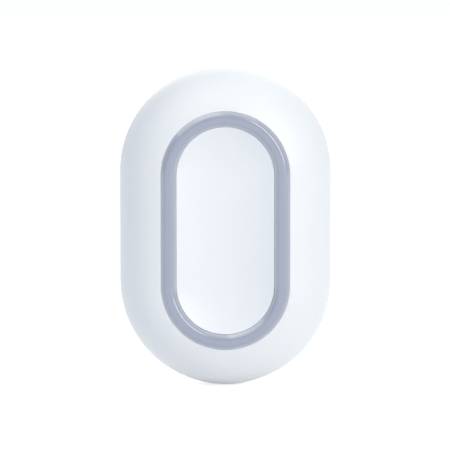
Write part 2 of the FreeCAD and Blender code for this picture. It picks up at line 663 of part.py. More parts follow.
def make_light_ring():
    # The bead has a flat top between two slopes. Each rounded edge starts and ends at the same
    # distance from the sharp corner that it replaces.
    body = new_body("light_ring")
    slope = "sqrt(Sizes.ring_slope_width^2 + Sizes.ring_slope_height^2)"
    run_in = f"(Sizes.ring_edge * ({slope} - Sizes.ring_slope_width) / Sizes.ring_slope_height)"
    across = f"({run_in} * Sizes.ring_slope_width / {slope})"
    low_end = f"-({RING_TOP} - {run_in} * Sizes.ring_slope_height / {slope})"
    outer_corner = f"({RING_HALF} - Sizes.ring_slope_width)"
    inner_corner = f"({RING_BORE} + Sizes.ring_slope_width)"
    slope_foot = f"-({RING_TOP} - Sizes.ring_slope_height)"
    outline = [
        (RING_BORE, f"-{RING_SEAT}"),
        (RING_HALF, f"-{RING_SEAT}"),
        (RING_HALF, slope_foot),
        (f"({outer_corner} + {across})", low_end),
        (f"({outer_corner} - {run_in})", f"-{RING_TOP}"),
        (f"({inner_corner} + {run_in})", f"-{RING_TOP}"),
        (f"({inner_corner} - {across})", low_end),
        (RING_BORE, slope_foot),
    ]
    centre_depth = f"-({RING_TOP} - Sizes.ring_edge)"
    arcs = {
        3: ((f"({outer_corner} - {run_in})", centre_depth), "Sizes.ring_edge"),
        5: ((f"({inner_corner} + {run_in})", centre_depth), "Sizes.ring_edge"),
    }
    carry_round(body, "ring", outline, arcs)
    leg_end = f"({BOARD_FRONT} + Sizes.led_height + Sizes.led_gap)"
    legs = front_sketch(body, "leg_outlines", leg_end)
    for x, z in LEG_PLACES.values():
        add_rectangle(legs, "Sizes.leg_width", "Sizes.leg_length", x, z)
    pad(body, "light_legs", legs, f"{RING_SEAT} + Sizes.join_lap - {leg_end}")
    return body


# Button

def make_button_cap():
    body = new_body("button_cap")
    outline = front_sketch(body, "cap_outline", FLANGE_BACK)
    add_stadium(outline, BUTTON_HALF)
    pad(body, "cap_block", outline, f"{BUTTON_RIM} - {FLANGE_BACK}")

    # The dish is an arc across the button, drawn out along the straight sides and turned round each end.
    trough = section_sketch(body, "trough_section")
    half_arc = section_sketch(body, "end_section", HALF_SPACING)
    for sketch, left in ((trough, f"-{BUTTON_HALF}"), (half_arc, "0")):
        add_dish_section(sketch, left)
    cut(body, "dish_trough", trough, "Sizes.end_spacing", mirrored=True)
    before = body.Shape.Volume
    end_dish = turn(body, "dish_end", half_arc, "PartDesign::Groove", 180.0, reverse=True)
    if not body.Shape.Volume < before - LEAST_CUT:
        raise ValueError("the dish's end cuts nothing")
    mirror(body, "dish_ends", [end_dish], "XY_Plane")
    rim = edges_at(body.Shape, value(BUTTON_RIM))
    round_edges(body, "cap_rim", body.Tip, rim, "Sizes.button_edge")

    inside = front_sketch(body, "cap_inside", FLANGE_BACK)
    add_stadium(inside, f"{BUTTON_HALF} - Sizes.button_wall")
    cut(body, "cap_hollow", inside, f"{CAP_INSIDE} - {FLANGE_BACK}", towards_front=True)
    flange = front_sketch(body, "flange_outline", FLANGE_BACK)
    add_stadium(flange, FLANGE_HALF)
    add_stadium(flange, f"{BUTTON_HALF} - Sizes.join_lap")
    pad(body, "cap_flange", flange, "Sizes.flange_wall")
    stems = front_sketch(body, "stem_circles", STEM_END)
    for z in SWITCH_PLACES.values():
        add_circle(stems, "Sizes.stem_radius", "0", z)
    pad(body, "cap_stems", stems, f"{CAP_INSIDE} + Sizes.join_lap - {STEM_END}")
    ribs = front_sketch(body, "rib_outlines", f"{CAP_INSIDE} - Sizes.rib_height")
    for z in (RIB_OFFSET, f"-{RIB_OFFSET}", "0"):
        add_rectangle(ribs, f"2 * ({BUTTON_HALF} - Sizes.button_wall + Sizes.join_lap)", "Sizes.rib_wall",
                      "0", z)
    pad(body, "cap_ribs", ribs, "Sizes.rib_height + Sizes.join_lap")
    return body


def add_dish_section(sketch, left):
    # The hollow in front of the dish's arc, from the given side to the button's right edge.
    front = f"-({BUTTON_RIM} + Sizes.button_inset)"
    centre_y = f"-({DISH_DEPTH} + Sizes.dish_radius)"
    left_y, right_y = (f"({centre_y} + sqrt(Sizes.dish_radius^2 - ({x})^2))" for x in (left, BUTTON_HALF))
    outline = [(left, left_y), (left, front), (BUTTON_HALF, front), (BUTTON_HALF, right_y)]
    add_outline(sketch, outline, {3: (("0", centre_y), "Sizes.dish_radius")})


def make_button_gasket():
    body = new_body("button_gasket")
    sketch = front_sketch(body, "gasket_outline", FLANGE_FRONT)
    add_stadium(sketch, f"{FLANGE_HALF} - Sizes.gasket_fit")
    add_stadium(sketch, f"{BUTTON_HALF} + Sizes.gasket_fit")
    pad(body, "gasket_ring", sketch, "Sizes.gasket_wall")
    return body


# Battery door, cell and holder

def make_battery_door():
    body = new_body("battery_door")
    section = section_sketch(body, "door_section")
    add_outline(section, [
        ("0", "-Sizes.door_sink"),
        ("Sizes.door_radius", "-Sizes.door_sink"),
        ("Sizes.door_radius", f"-{DOOR_FLANGE_FRONT}"),
        (DOOR_SEAL_OUTER, f"-{DOOR_FLANGE_FRONT}"),
        (DOOR_SEAL_OUTER, f"-{DOOR_SEAL_BACK}"),
        (DOOR_SEAL_INNER, f"-{DOOR_SEAL_BACK}"),
        (DOOR_SEAL_INNER, f"-{DOOR_FLANGE_FRONT}"),
        (DOOR_HUB, f"-{DOOR_FLANGE_FRONT}"),
        (DOOR_HUB, f"-{DOOR_HUB_END}"),
        (DOOR_HUB_BORE, f"-{DOOR_HUB_END}"),
        (DOOR_HUB_BORE, f"-{DOOR_INSIDE}"),
        ("0", f"-{DOOR_INSIDE}"),
    ])
    disc = turn(body, "door_disc", section)
    rim = edges_at(disc.Shape, value("Sizes.door_sink"))
    round_edges(body, "door_rim", disc, rim, "Sizes.door_edge", "PartDesign::Chamfer")
    slot = front_sketch(body, "coin_slot_outline", "Sizes.door_sink + Sizes.coin_slot_depth")
    add_slot(slot, "Sizes.coin_slot_length", "Sizes.coin_slot_width / 2")
    cut(body, "coin_slot", slot)
    lug = front_sketch(body, "lug_sector", LUG_BACK)
    add_sector(lug, f"{DOOR_HUB_BORE} + Sizes.door_hub_wall / 2", LUG_TIP, "90", "Sizes.lug_angle")
    first_lug = pad(body, "lug", lug, "Sizes.lug_wall")
    pattern(body, "lugs", [first_lug], 3)
    return body


def make_door_seal():
    body = new_body("door_seal")
    section = section_sketch(body, "seal_section")
    add_outline(section, [
        (DOOR_SEAL_INNER, f"-{DOOR_SEAL_BACK}"),
        (DOOR_SEAL_OUTER, f"-{DOOR_SEAL_BACK}"),
        (DOOR_SEAL_OUTER, f"-{DOOR_SEAL_FRONT}"),
        (DOOR_SEAL_INNER, f"-{DOOR_SEAL_FRONT}"),
    ])
    turn(body, "seal_ring", section)
    return body


def make_coin_cell():
    body = new_body("coin_cell")
    section = section_sketch(body, "cell_section")
    step = f"-({CELL_FRONT} - Sizes.cell_step)"
    add_outline(section, [
        ("0", f"-{CELL_BACK}"),
        ("Sizes.cell_radius", f"-{CELL_BACK}"),
        ("Sizes.cell_radius", step),
        ("Sizes.cell_cap_radius", step),
        ("Sizes.cell_cap_radius", f"-{CELL_FRONT}"),
        ("0", f"-{CELL_FRONT}"),
    ])
    can = turn(body, "cell_can", section)
    rim = edges_at(can.Shape, value(CELL_BACK))
    round_edges(body, "cell_rim", can, rim, "Sizes.cell_edge")
    return body


def make_battery_holder():
    body = new_body("battery_holder")
    ring = front_sketch(body, "holder_outline", "Sizes.board_depth - Sizes.holder_height")
    add_circle(ring, HOLDER_OUTER)
    add_circle(ring, HOLDER_BORE)
    pad(body, "holder_ring", ring, "Sizes.holder_height")
    window = front_sketch(body, "window_outline", "Sizes.board_depth")
    across = "2 * (Sizes.holder_wall + Sizes.holder_fit)"
    add_rectangle(window, across, "Sizes.holder_window", f"-{HOLDER_MIDDLE}")
    cut(body, "contact_window", window)
    finger_floor = "Sizes.board_depth - Sizes.holder_height + Sizes.finger_depth"
    notch = front_sketch(body, "finger_outline", finger_floor)
    add_rectangle(notch, across, "Sizes.finger_width", HOLDER_MIDDLE)
    cut(body, "finger_notch", notch)
    pegs = front_sketch(body, "peg_circles", "Sizes.board_depth - Sizes.join_lap")
    for side in (1, -1):
        add_circle(pegs, "Sizes.peg_radius", "0", f"{side} * {HOLDER_MIDDLE}")
    pad(body, "holder_pegs", pegs, "Sizes.join_lap + Sizes.peg_reach")
    return body


def make_positive_contact():
    # A foot soldered to the board and a blade that leans on the rim of the cell.
    body = new_body("positive_contact")
    section = section_sketch(body, "blade_section")
    inner = "Sizes.cell_radius"
    outer = f"({inner} + Sizes.contact_wall)"
    heel = f"({inner} + Sizes.positive_lean)"
    toe = f"({HOLDER_OUTER} + Sizes.positive_foot)"
    bend = f"({CELL_FRONT} - Sizes.cell_step)"
    tip = "(Sizes.board_depth - Sizes.holder_height)"
    foot_front = "Sizes.board_depth"
    foot_back = "(Sizes.board_depth - Sizes.contact_wall)"
    add_outline(section, [
        (f"-{inner}", f"-{tip}"),
        (f"-{inner}", f"-{bend}"),
        (f"-{heel}", f"-{foot_front}"),
        (f"-{toe}", f"-{foot_front}"),
        (f"-{toe}", f"-{foot_back}"),
        (f"-({heel} + Sizes.contact_wall)", f"-{foot_back}"),
        (f"-{outer}", f"-{bend}"),
        (f"-{outer}", f"-{tip}"),
    ])
    pad(body, "blade_strip", section, "Sizes.positive_width", mirrored=True)
    return body


def make_negative_contact():
    # A bowed strip on the board whose middle bears on the cell's cap.
    body = new_body("negative_contact")
    section = section_sketch(body, "bow_section")
    half = "(Sizes.negative_length / 2)"
    knee = f"({half} - Sizes.negative_foot)"
    flat = "(Sizes.negative_crest / 2)"
    board = "-Sizes.board_depth"
    crest = f"-{CELL_FRONT}"
    wall = "Sizes.contact_wall"
    add_outline(section, [
        (f"-{half}", board),
        (f"-{knee}", board),
        (f"-{flat}", f"{crest} - {wall}"),
        (flat, f"{crest} - {wall}"),
        (knee, board),
        (half, board),
        (half, f"{board} + {wall}"),
        (knee, f"{board} + {wall}"),
        (flat, crest),
        (f"-{flat}", crest),
        (f"-{knee}", f"{board} + {wall}"),
        (f"-{half}", f"{board} + {wall}"),
    ])
    pad(body, "bow_strip", section, "Sizes.negative_width", mirrored=True)
    return body


# Circuit board and what it carries

def make_circuit_board():
    body = new_body("circuit_board")
    outline = front_sketch(body, "board_outline", "Sizes.board_depth")
    add_stadium(outline, BOARD_HALF)
    for x, z in SCREW_PLACES:
        add_circle(outline, SHANK_HOLE, x, z)
    for side in (1, -1):
        add_circle(outline, "Sizes.peg_radius + Sizes.peg_fit", "0", f"{side} * {HOLDER_MIDDLE}")
    pad(body, "board_sheet", outline, "Sizes.board_wall")
    return body


def make_switch(name, height):
    # Every piece is drawn with depth 0 at the board's front face, and then placed.
    base_top = "Sizes.switch_base_height"
    base = new_body(f"{name}_switch_base")
    square = front_sketch(base, f"{name}_base_outline", "0")
    add_rectangle(square, "Sizes.switch_width", "Sizes.switch_width")
    pad(base, f"{name}_base_block", square, base_top)
    well = front_sketch(base, f"{name}_well_circle", WELL_FLOOR)
    add_circle(well, "Sizes.switch_well_radius")
    cut(base, f"{name}_well", well, base_top, towards_front=True)

    plate = new_body(f"{name}_switch_plate")
    sheet_outline = front_sketch(plate, f"{name}_plate_outline", base_top)
    add_rectangle(sheet_outline, "Sizes.switch_width + 2 * Sizes.switch_plate_wall", "Sizes.switch_width")
    add_circle(sheet_outline, "Sizes.plunger_radius + Sizes.plunger_fit")
    pad(plate, f"{name}_plate_sheet", sheet_outline, "Sizes.switch_plate_wall")
    tabs = front_sketch(plate, f"{name}_tab_outlines", "Sizes.tab_gap")
    for side in (1, -1):
        add_rectangle(tabs, "Sizes.switch_plate_wall", "Sizes.tab_width",
                      f"{side} * (Sizes.switch_width + Sizes.switch_plate_wall) / 2")
    pad(plate, f"{name}_plate_tabs", tabs, f"{PLATE_TOP} - Sizes.tab_gap")

    dome = new_body(f"{name}_switch_dome")
    make_snap_dome(dome, name)

    plunger = new_body(f"{name}_switch_plunger")
    section = section_sketch(plunger, f"{name}_plunger_section")
    flange_reach = "Sizes.plunger_radius + Sizes.plunger_flange"
    add_outline(section, [
        ("0", f"-{PLUNGER_FLANGE_LOW}"),
        (flange_reach, f"-{PLUNGER_FLANGE_LOW}"),
        (flange_reach, f"-{PLUNGER_FLANGE_TOP}"),
        ("Sizes.plunger_radius", f"-{PLUNGER_FLANGE_TOP}"),
        ("Sizes.plunger_radius", f"-{PLUNGER_TIP}"),
        ("0", f"-{PLUNGER_TIP}"),
    ])
    stem = turn(plunger, f"{name}_plunger_stem", section)
    tip = edges_at(stem.Shape, value(PLUNGER_TIP))
    round_edges(plunger, f"{name}_plunger_tip", stem, tip, "Sizes.plunger_edge", "PartDesign::Chamfer")

    parts = [base, plate, dome, plunger]
    for part in parts:
        move_to(part, depth=BOARD_FRONT, z=height)
    return parts


def make_snap_dome(body, name):
    # A thin spherical disc, hollow towards the board, turned from the strip between two arcs.
    reach = "(Sizes.switch_well_radius - Sizes.dome_fit)"
    crown = f"({PLUNGER_FLANGE_LOW} - Sizes.plunger_play)"
    rise = f"({crown} - {WELL_FLOOR})"
    outer = f"(({reach}^2 + {rise}^2) / (2 * {rise}))"
    inner = f"({outer} - Sizes.dome_wall)"
    inner_reach = f"sqrt({inner}^2 - ({outer} - {rise})^2)"
    centre = ("0", f"({outer} - {crown})")
    outline = [
        ("0", f"-{crown}"),
        (reach, f"-{WELL_FLOOR}"),
        (inner_reach, f"-{WELL_FLOOR}"),
        ("0", f"-({crown} - Sizes.dome_wall)"),
    ]
    section = section_sketch(body, f"{name}_dome_section")
    add_outline(section, outline, {0: (centre, outer), 2: (centre, inner)})
    turn(body, f"{name}_dome_disc", section)


def make_led(name, x, z):
    body = new_body(f"{name}_led")
    outline = front_sketch(body, f"{name}_led_outline", "0")
    add_rectangle(outline, "Sizes.led_width", "Sizes.led_length")
    block = pad(body, f"{name}_led_block", outline, "Sizes.led_height")
    front = edges_at(block.Shape, value("Sizes.led_height"))
    round_edges(body, f"{name}_led_lens", block, front, "Sizes.led_edge")
    move_to(body, x, BOARD_FRONT, z)
    return body


def make_chip():
    body = new_body("main_chip")
    outline = front_sketch(body, "chip_outline", "0")
    add_rectangle(outline, "Sizes.chip_width", "Sizes.chip_width")
    block = pad(body, "chip_block", outline, "Sizes.chip_height")
    front = edges_at(block.Shape, value("Sizes.chip_height"))
    round_edges(body, "chip_edges", block, front, "Sizes.chip_edge", "PartDesign::Chamfer")
    move_to(body, depth=BOARD_FRONT)
    return body


def make_radio_can():
    body = new_body("radio_can")
    outline = front_sketch(body, "can_outline", "0")
    add_rectangle(outline, "Sizes.can_width", "Sizes.can_length")
    block = pad(body, "can_block", outline, "Sizes.can_height")
    edges = edges_at(block.Shape, value("Sizes.can_height"))
    rounded = round_edges(body, "can_edges", block, edges, "Sizes.can_edge")
    hollow(body, "can_hollow", rounded, faces_at(rounded.Shape, 0.0), "Sizes.can_wall")
    move_to(body, depth=BOARD_FRONT, z=f"-({BESIDE_SWITCH} + Sizes.can_length / 2)")
    return body


def make_crystal():
    body = new_body("crystal")
    outline = front_sketch(body, "crystal_outline", "0")
    add_rectangle(outline, "Sizes.crystal_width", "Sizes.crystal_length")
    block = pad(body, "crystal_block", outline, "Sizes.crystal_height")
    front = edges_at(block.Shape, value("Sizes.crystal_height"))
    round_edges(body, "crystal_edges", block, front, "Sizes.crystal_edge")
    move_to(body, depth=BOARD_FRONT, z=f"{BESIDE_SWITCH} + Sizes.crystal_length / 2")
    return body


def make_antenna_strip():
    # A strip on edge along the upper end of the board, drawn round that end's centre.
    body = new_body("antenna_strip")
    outline = front_sketch(body, "antenna_sector", "0")
    outer = f"({BOARD_HALF} - Sizes.antenna_inset)"
    inner = f"({outer} - Sizes.antenna_wall)"
    add_sector(outline, inner, outer, "90", "2 * Sizes.antenna_half_angle")
    pad(body, "antenna_wall", outline, "Sizes.antenna_height")
    for number, side in enumerate((1, -1), start=1):
        foot = front_sketch(body, f"antenna_foot_{number}", "0")
        foot_angle = "Sizes.antenna_foot_angle"
        middle = f"90 + {side} * (Sizes.antenna_half_angle - {foot_angle} / 2)"
        add_sector(foot, f"{inner} - Sizes.antenna_foot", f"{outer} - Sizes.antenna_wall / 2", middle,
                   foot_angle)
        pad(body, f"antenna_foot_pad_{number}", foot, "Sizes.antenna_wall")
    move_to(body, depth=BOARD_FRONT, z=HALF_SPACING)
    return body


# Fasteners

def make_case_screws():
    # Four like screws in one piece of the list: shank and pan head each.
    solids = []
    for x, z in SCREW_PLACES:
        place = Vector(value(x), -value("Sizes.screw_head_sink"), value(z))
        front = Vector(0, -1, 0)
        head = Part.makeCylinder(value("Sizes.screw_head_radius"), value("Sizes.screw_head_height"),
                                 place, front)
        shank = Part.makeCylinder(value(THREAD_HOLE), value(f"{SCREW_END} - Sizes.screw_head_sink"),
                                  place, front)
        solids.append(head.fuse(shank).removeSplitter())
    screws = doc.addObject("Part::Feature", "case_screws")
    screws.Shape = Part.makeCompound(solids)
    return screws


pieces = [
    make_front_shell(),
    make_rear_cover(),
    make_case_seal(),
    make_light_ring(),
    make_button_cap(),
    make_button_gasket(),
    make_battery_door(),
    make_door_seal(),
    make_coin_cell(),
    make_battery_holder(),
    make_positive_contact(),
    make_negative_contact(),
    make_circuit_board(),
    make_chip(),
    make_radio_can(),
    make_crystal(),
    make_antenna_strip(),
    make_case_screws(),
]
for name, height in SWITCH_PLACES.items():
    pieces.extend(make_switch(name, height))
for name, (x, z) in LEG_PLACES.items():
    pieces.append(make_led(name, x, z))
doc.recompute()

failed = [item.Label for item in doc.Objects if {"Invalid", "Error"} & set(item.State)]
if failed:
    raise RuntimeError(f"these features failed: {failed}")
for piece in pieces:
    if piece.Shape.isNull() or not piece.Shape.isValid():
        raise RuntimeError(f"{piece.Label} has no valid shape")

os.makedirs("parts", exist_ok=True)
for piece in pieces:
    piece.Shape.exportStep(f"parts/{piece.Label}.step")
    print(piece.Label, round(piece.Shape.Volume, 2), len(piece.Shape.Solids), len(piece.Shape.Faces))
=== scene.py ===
import math

import bmesh
import bpy
from mathutils import Matrix, Vector


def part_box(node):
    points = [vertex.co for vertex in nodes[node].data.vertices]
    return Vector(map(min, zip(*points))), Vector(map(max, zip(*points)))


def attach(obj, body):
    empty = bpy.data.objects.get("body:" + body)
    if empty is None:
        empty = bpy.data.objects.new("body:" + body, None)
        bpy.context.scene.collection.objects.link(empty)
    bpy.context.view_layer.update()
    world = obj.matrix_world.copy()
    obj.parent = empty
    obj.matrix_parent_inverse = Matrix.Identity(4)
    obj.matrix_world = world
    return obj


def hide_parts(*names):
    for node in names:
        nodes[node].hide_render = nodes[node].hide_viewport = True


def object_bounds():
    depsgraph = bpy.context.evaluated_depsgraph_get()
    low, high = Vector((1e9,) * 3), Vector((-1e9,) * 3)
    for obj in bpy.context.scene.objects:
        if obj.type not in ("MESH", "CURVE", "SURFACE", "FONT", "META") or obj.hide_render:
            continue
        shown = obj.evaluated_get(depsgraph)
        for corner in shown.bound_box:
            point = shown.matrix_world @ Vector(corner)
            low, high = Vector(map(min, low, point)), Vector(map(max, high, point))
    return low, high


# A wearable or wall-fixed alarm button: a white domed case with round ends, a translucent grey ring
# round a long dished button, and a round coin-slot battery door in the back.
#
# +Z is up, +X is to the right as seen from the front, and the front faces -Y. "Depth" is the distance
# in front of the back plane, so depth = -y. Lengths are in metres: MM turns millimetres into them.

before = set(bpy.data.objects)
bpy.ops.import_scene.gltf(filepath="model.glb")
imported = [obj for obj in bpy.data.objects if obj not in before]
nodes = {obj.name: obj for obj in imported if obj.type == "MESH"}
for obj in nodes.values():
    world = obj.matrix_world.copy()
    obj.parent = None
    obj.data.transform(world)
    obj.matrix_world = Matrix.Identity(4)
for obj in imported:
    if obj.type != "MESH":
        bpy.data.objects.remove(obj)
CAD_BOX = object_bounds()
MM = 0.001


# Sizes read off the frame

def half_width(node):
    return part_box(node)[1].x


def front_depth(node):
    return -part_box(node)[0].y


def back_depth(node):
    return -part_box(node)[1].y


CASE_HALF = half_width("front_shell")
HALF_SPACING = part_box("front_shell")[1].z - CASE_HALF        # middle to the centre of each round end
PARTING = back_depth("front_shell")                           # joint between the two shells
RING_HALF = half_width("light_ring")
RING_TOP = front_depth("light_ring")
FLANGE_HALF = half_width("button_cap")
FLANGE_FRONT = back_depth("button_gasket")
STEM_END = back_depth("button_cap")
DOOR_RADIUS = half_width("battery_door")
DOOR_FACE = back_depth("battery_door")
HUB_END = front_depth("battery_door")
BOARD_BACK = back_depth("circuit_board")
BOARD_FRONT = front_depth("circuit_board")
SWITCH_REACH = (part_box("upper_switch_base")[0].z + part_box("upper_switch_base")[1].z) / 2
LEG_X = (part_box("upper_right_led")[0].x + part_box("upper_right_led")[1].x) / 2
LEG_Z = (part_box("upper_right_led")[0].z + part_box("upper_right_led")[1].z) / 2
LEG_END = back_depth("light_ring")
SCREW_FACE = back_depth("case_screws")
SCREW_END = front_depth("case_screws")

# Sizes of the mouldings

DOME_RADIUS = 11.6 * MM
SHELL_RIM = 0.4 * MM            # straight stretch of the front shell at the joint
SHELL_WALL = 1.7 * MM
EDGE_ROUND = 0.15 * MM          # rounding of the shells' small edges
CHANNEL_EDGE = 0.08 * MM        # rounding of the shell's edge beside the ring
REAR_ROUND = 2.4 * MM           # rounding of the rear cover's outer edge
RING_BAND = 2.8 * MM
RING_HEIGHT = 1.9 * MM
RING_SLOPE_WIDTH = 0.8 * MM     # sloping sides of the ring, across the band
RING_SLOPE_HEIGHT = 0.6 * MM
RING_EDGE = 0.8 * MM            # rounding between the ring's top and its slopes
RING_FIT = 0.02 * MM
LEDGE_WALL = 1.2 * MM
LEG_LENGTH = 2.2 * MM
LEG_WIDTH = 1.1 * MM
SLOT_FIT = 0.1 * MM
BUTTON_GAP = 0.04 * MM
BUTTON_INSET = 0.7 * MM         # rim of the button behind the ring's top
BUTTON_EDGE = 0.06 * MM
BUTTON_WALL = 1.3 * MM
BUTTON_FLOOR = 1.2 * MM
DISH_RADIUS = 23.0 * MM
FLANGE_WALL = 0.7 * MM
LEDGE_FIT = 0.25 * MM
STEM_RADIUS = 1.6 * MM
RIB_WALL = 0.9 * MM
RIB_HEIGHT = 1.1 * MM
RIB_GAP = 0.2 * MM
BOSS_RADIUS = 2.2 * MM
BOSS_COVER = 0.85 * MM          # shell in front of a boss
THREAD_HOLE_RADIUS = 0.8 * MM
THREAD_HOLE_SPARE = 0.5 * MM    # depth of the hole past the screw's end
PLATE_WALL = 1.6 * MM           # floor of the rear cover
LIP_HEIGHT = 1.6 * MM
LIP_WALL = 1.2 * MM
LIP_FIT = 0.25 * MM
SEAL_GROOVE = 0.8 * MM
SEAL_INSET = 0.6 * MM
PILLAR_RADIUS = 2.4 * MM
COUNTERBORE_RADIUS = 2.05 * MM
SHANK_HOLE_RADIUS = 1.15 * MM
HOLE_FLARE = 0.15 * MM
DOOR_FIT = 0.25 * MM
DOOR_FLANGE_WALL = 1.1 * MM
DOOR_FLANGE_GAP = 0.15 * MM
DOOR_FLOOR = 1.5 * MM
DOOR_EDGE = 0.25 * MM
HUB_RADIUS = 11.1 * MM
DOOR_HUB_WALL = 0.75 * MM
DOOR_SEAT_WALL = 1.0 * MM
DOOR_LAND = 1.55 * MM           # thickened ring of the cover outside the door's recess
LUG_REACH = 1.35 * MM
LUG_MIDDLES = (90.0, 210.0, 330.0)        # where the lugs of the locked door stand
LUG_ANGLE = 20.0                # width of each lug
LUG_WALL = 0.6 * MM
LUG_FIT = 0.15 * MM
NOTCH_ANGLE = 24.0
STOP_ANGLE = 5.0                # width of each rib that stops a lug
STOP_GAP = 0.5
DOOR_TURN = 40.0
DOOR_SEAL = 0.64 * MM
DOOR_SEAL_INSET = 0.35 * MM
COIN_SLOT_LENGTH = 13.0 * MM
COIN_SLOT_WIDTH = 1.8 * MM
COIN_SLOT_DEPTH = 0.8 * MM
COIN_SLOT_MOUTH = 0.15 * MM     # eased edge of the coin slot
SCREW_HEAD_RADIUS = 1.85 * MM
SCREW_HEAD_HEIGHT = 1.3 * MM
SCREW_HEAD_ROUND = 0.6 * MM
RECESS_LENGTH = 2.1 * MM        # cross recess in the head
RECESS_WIDTH = 0.5 * MM
RECESS_DEPTH = 0.8 * MM
RECESS_MOUTH = 0.1 * MM         # the recess is painted dark, as shade, from this depth on
SCREW_CORE_RADIUS = 0.8 * MM
SCREW_THREAD_RADIUS = 1.0 * MM
SCREW_PITCH = 0.8 * MM
THREAD_SHARE = 0.5              # width of the ridge at its foot, as a share of the pitch
SCREW_POINT = 1.0 * MM          # length of the tapered tip
TIP_SHARE = 0.5                 # width of the tip's end, as a share of the shank's
SCREW_TURNS = (15.0, -35.0, 55.0, 5.0)    # how far each screw's recess stands turned

DOME_CENTRE = CASE_HALF - DOME_RADIUS
DOME_START = PARTING + SHELL_RIM
CHANNEL_HALF = RING_HALF + RING_FIT
RING_SEAT = RING_TOP - RING_HEIGHT
LEDGE_BACK = RING_SEAT - LEDGE_WALL
BUTTON_HALF = RING_HALF - RING_BAND - BUTTON_GAP
BUTTON_RIM = RING_TOP - BUTTON_INSET
OPENING_HALF = BUTTON_HALF + LEDGE_FIT
JOIN_LAP = 0.4 * MM             # how far a leg, stem or rib runs into what carries it
SCREW_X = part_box("case_screws")[1].x - SCREW_HEAD_RADIUS
SCREW_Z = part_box("case_screws")[1].z - SCREW_HEAD_RADIUS
SCREW_PLACES = [(side * SCREW_X, end * SCREW_Z) for side in (1, -1) for end in (1, -1)]
LEG_PLACES = [(side * LEG_X, end * LEG_Z) for side in (1, -1) for end in (1, -1)]

# Steps of the meshes

END_STEPS = 64                  # round one end of the case
SIDE_STEPS = 8                  # along a straight side
CIRCLE_STEPS = 96
SMALL_STEPS = 40                # round a peg, a hole or a screw's head
SLOT_STEPS = 16                 # round one end of the coin slot
SECTOR_STEPS = 12               # along a lug, a notch or a stop rib
THREAD_STEPS = 24               # round the shank
THREAD_ROWS = 8                 # along one turn of the thread
WELD = 1e-7                     # points nearer than this are one
SHARP = math.radians(30)

# Sizes of the finishes

WHITE_GRAIN = 0.001 * MM        # heights of the grain that the moulds leave
RING_GRAIN = 0.0003 * MM
HOLDER_GRAIN = 0.004 * MM
CHIP_GRAIN = 0.01 * MM
DIODE_GRAIN = 0.002 * MM
SEAL_GRAIN = 0.006 * MM
LINE_HEIGHT = 0.0015 * MM       # lines that rolling, drawing or turning leaves on metal
COPPER_HEIGHT = 0.03 * MM
GLOSS_DRIFT = 0.04              # how far the roughness of plastic drifts either way
METAL_POLISH = 0.08             # how far metal's roughness falls where it is smoothest
METAL_WEAR = 0.30               # and how far it rises where it is most worn
PAINTED_GLOW_REACH = 0.6 * MM           # how far the painted glow of the white plastic reaches into the ring's colour
PAINTED_GLOW_FALL = 1.5                 # power with which that fades
DUST_FROM = 0.66                # grain above this level holds dust on the seals
TRACE_PITCH = 0.55 * MM
TRACE_WIDTH = 0.2 * MM
TRACE_PATCHES = (("X", 0.18), ("Z", 0.54))    # across which axis traces repeat, and in which patches
PATCH_REACH = 0.18              # how far these patches' levels lie on either side of that number
FILLED_FROM = 0.80              # patches above this level are filled with copper
HOLE_RIM = (0.10, 0.015)        # radius and softness of a tinned hole's rim, in cells of its pattern
HOLE_BORE = (0.045, 0.01)
PAD_PITCH = 0.8 * MM
PAD_HEIGHT = 0.25 * MM          # of the tinned pads at the foot of the chip
PAD_ROW_SHARE = 0.85            # length of a row of pads, as a share of the chip's side
MARK_SHARE = 0.72               # place of the chip's mark between its middle and its corner
MARK_RADIUS = 0.35 * MM
MARK_SOFTNESS = 0.04 * MM
WINDOW_RADIUS = 0.42 * MM       # phosphor window of a diode
WINDOW_SOFTNESS = 0.08 * MM
DIODE_PAD_START = 0.8 * MM      # from the diode's middle to its tinned pads


# Making meshes

def arc(centre, radius, first, last, steps):
    # Points round a centre in a profile. Both angles are in degrees: 0 is outwards and 90 forwards.
    half, depth = centre
    angles = [math.radians(first + (last - first) * step / steps) for step in range(steps + 1)]
    return [(half + radius * math.cos(angle), depth + radius * math.sin(angle)) for angle in angles]


def stadium_stations():
    # The places of a profile that goes once round the case: its outward direction and its centre.
    stations = []
    for end in (1, -1):
        for step in range(END_STEPS):
            angle = math.pi * (step / END_STEPS + (end < 0))
            stations.append((math.cos(angle), math.sin(angle), 0.0, end * HALF_SPACING))
        for step in range(SIDE_STEPS):
            stations.append((-end, 0.0, 0.0, end * HALF_SPACING * (1 - 2 * step / SIDE_STEPS)))
    return stations


def circle_stations(x=0.0, z=0.0, steps=CIRCLE_STEPS):
    angles = [2 * math.pi * step / steps for step in range(steps)]
    return [(math.cos(angle), math.sin(angle), x, z) for angle in angles]


def new_object(name, mesh_builder):
    mesh = bpy.data.meshes.new(name)
    bmesh.ops.remove_doubles(mesh_builder, verts=mesh_builder.verts, dist=WELD)
    bmesh.ops.recalc_face_normals(mesh_builder, faces=mesh_builder.faces)
    mesh_builder.to_mesh(mesh)
    mesh_builder.free()
    piece = bpy.data.objects.new(name, mesh)
    bpy.context.collection.objects.link(piece)
    return piece


def sweep(name, profile, stations, closed=True):
    # Carries a profile of (half width, depth) points round its stations. An open profile starts and
    # ends on the middle line, so that the form closes there.
    builder = bmesh.new()
    rows = [
        [builder.verts.new((x + out_x * half, -depth, z + out_z * half)) for half, depth in profile]
        for out_x, out_z, x, z in stations
    ]
    runs = len(profile) if closed else len(profile) - 1
    for row, following in zip(rows, rows[1:] + rows[:1]):
        for run in range(runs):
            ahead = (run + 1) % len(profile)
            builder.faces.new((row[run], row[ahead], following[ahead], following[run]))
    return new_object(name, builder)


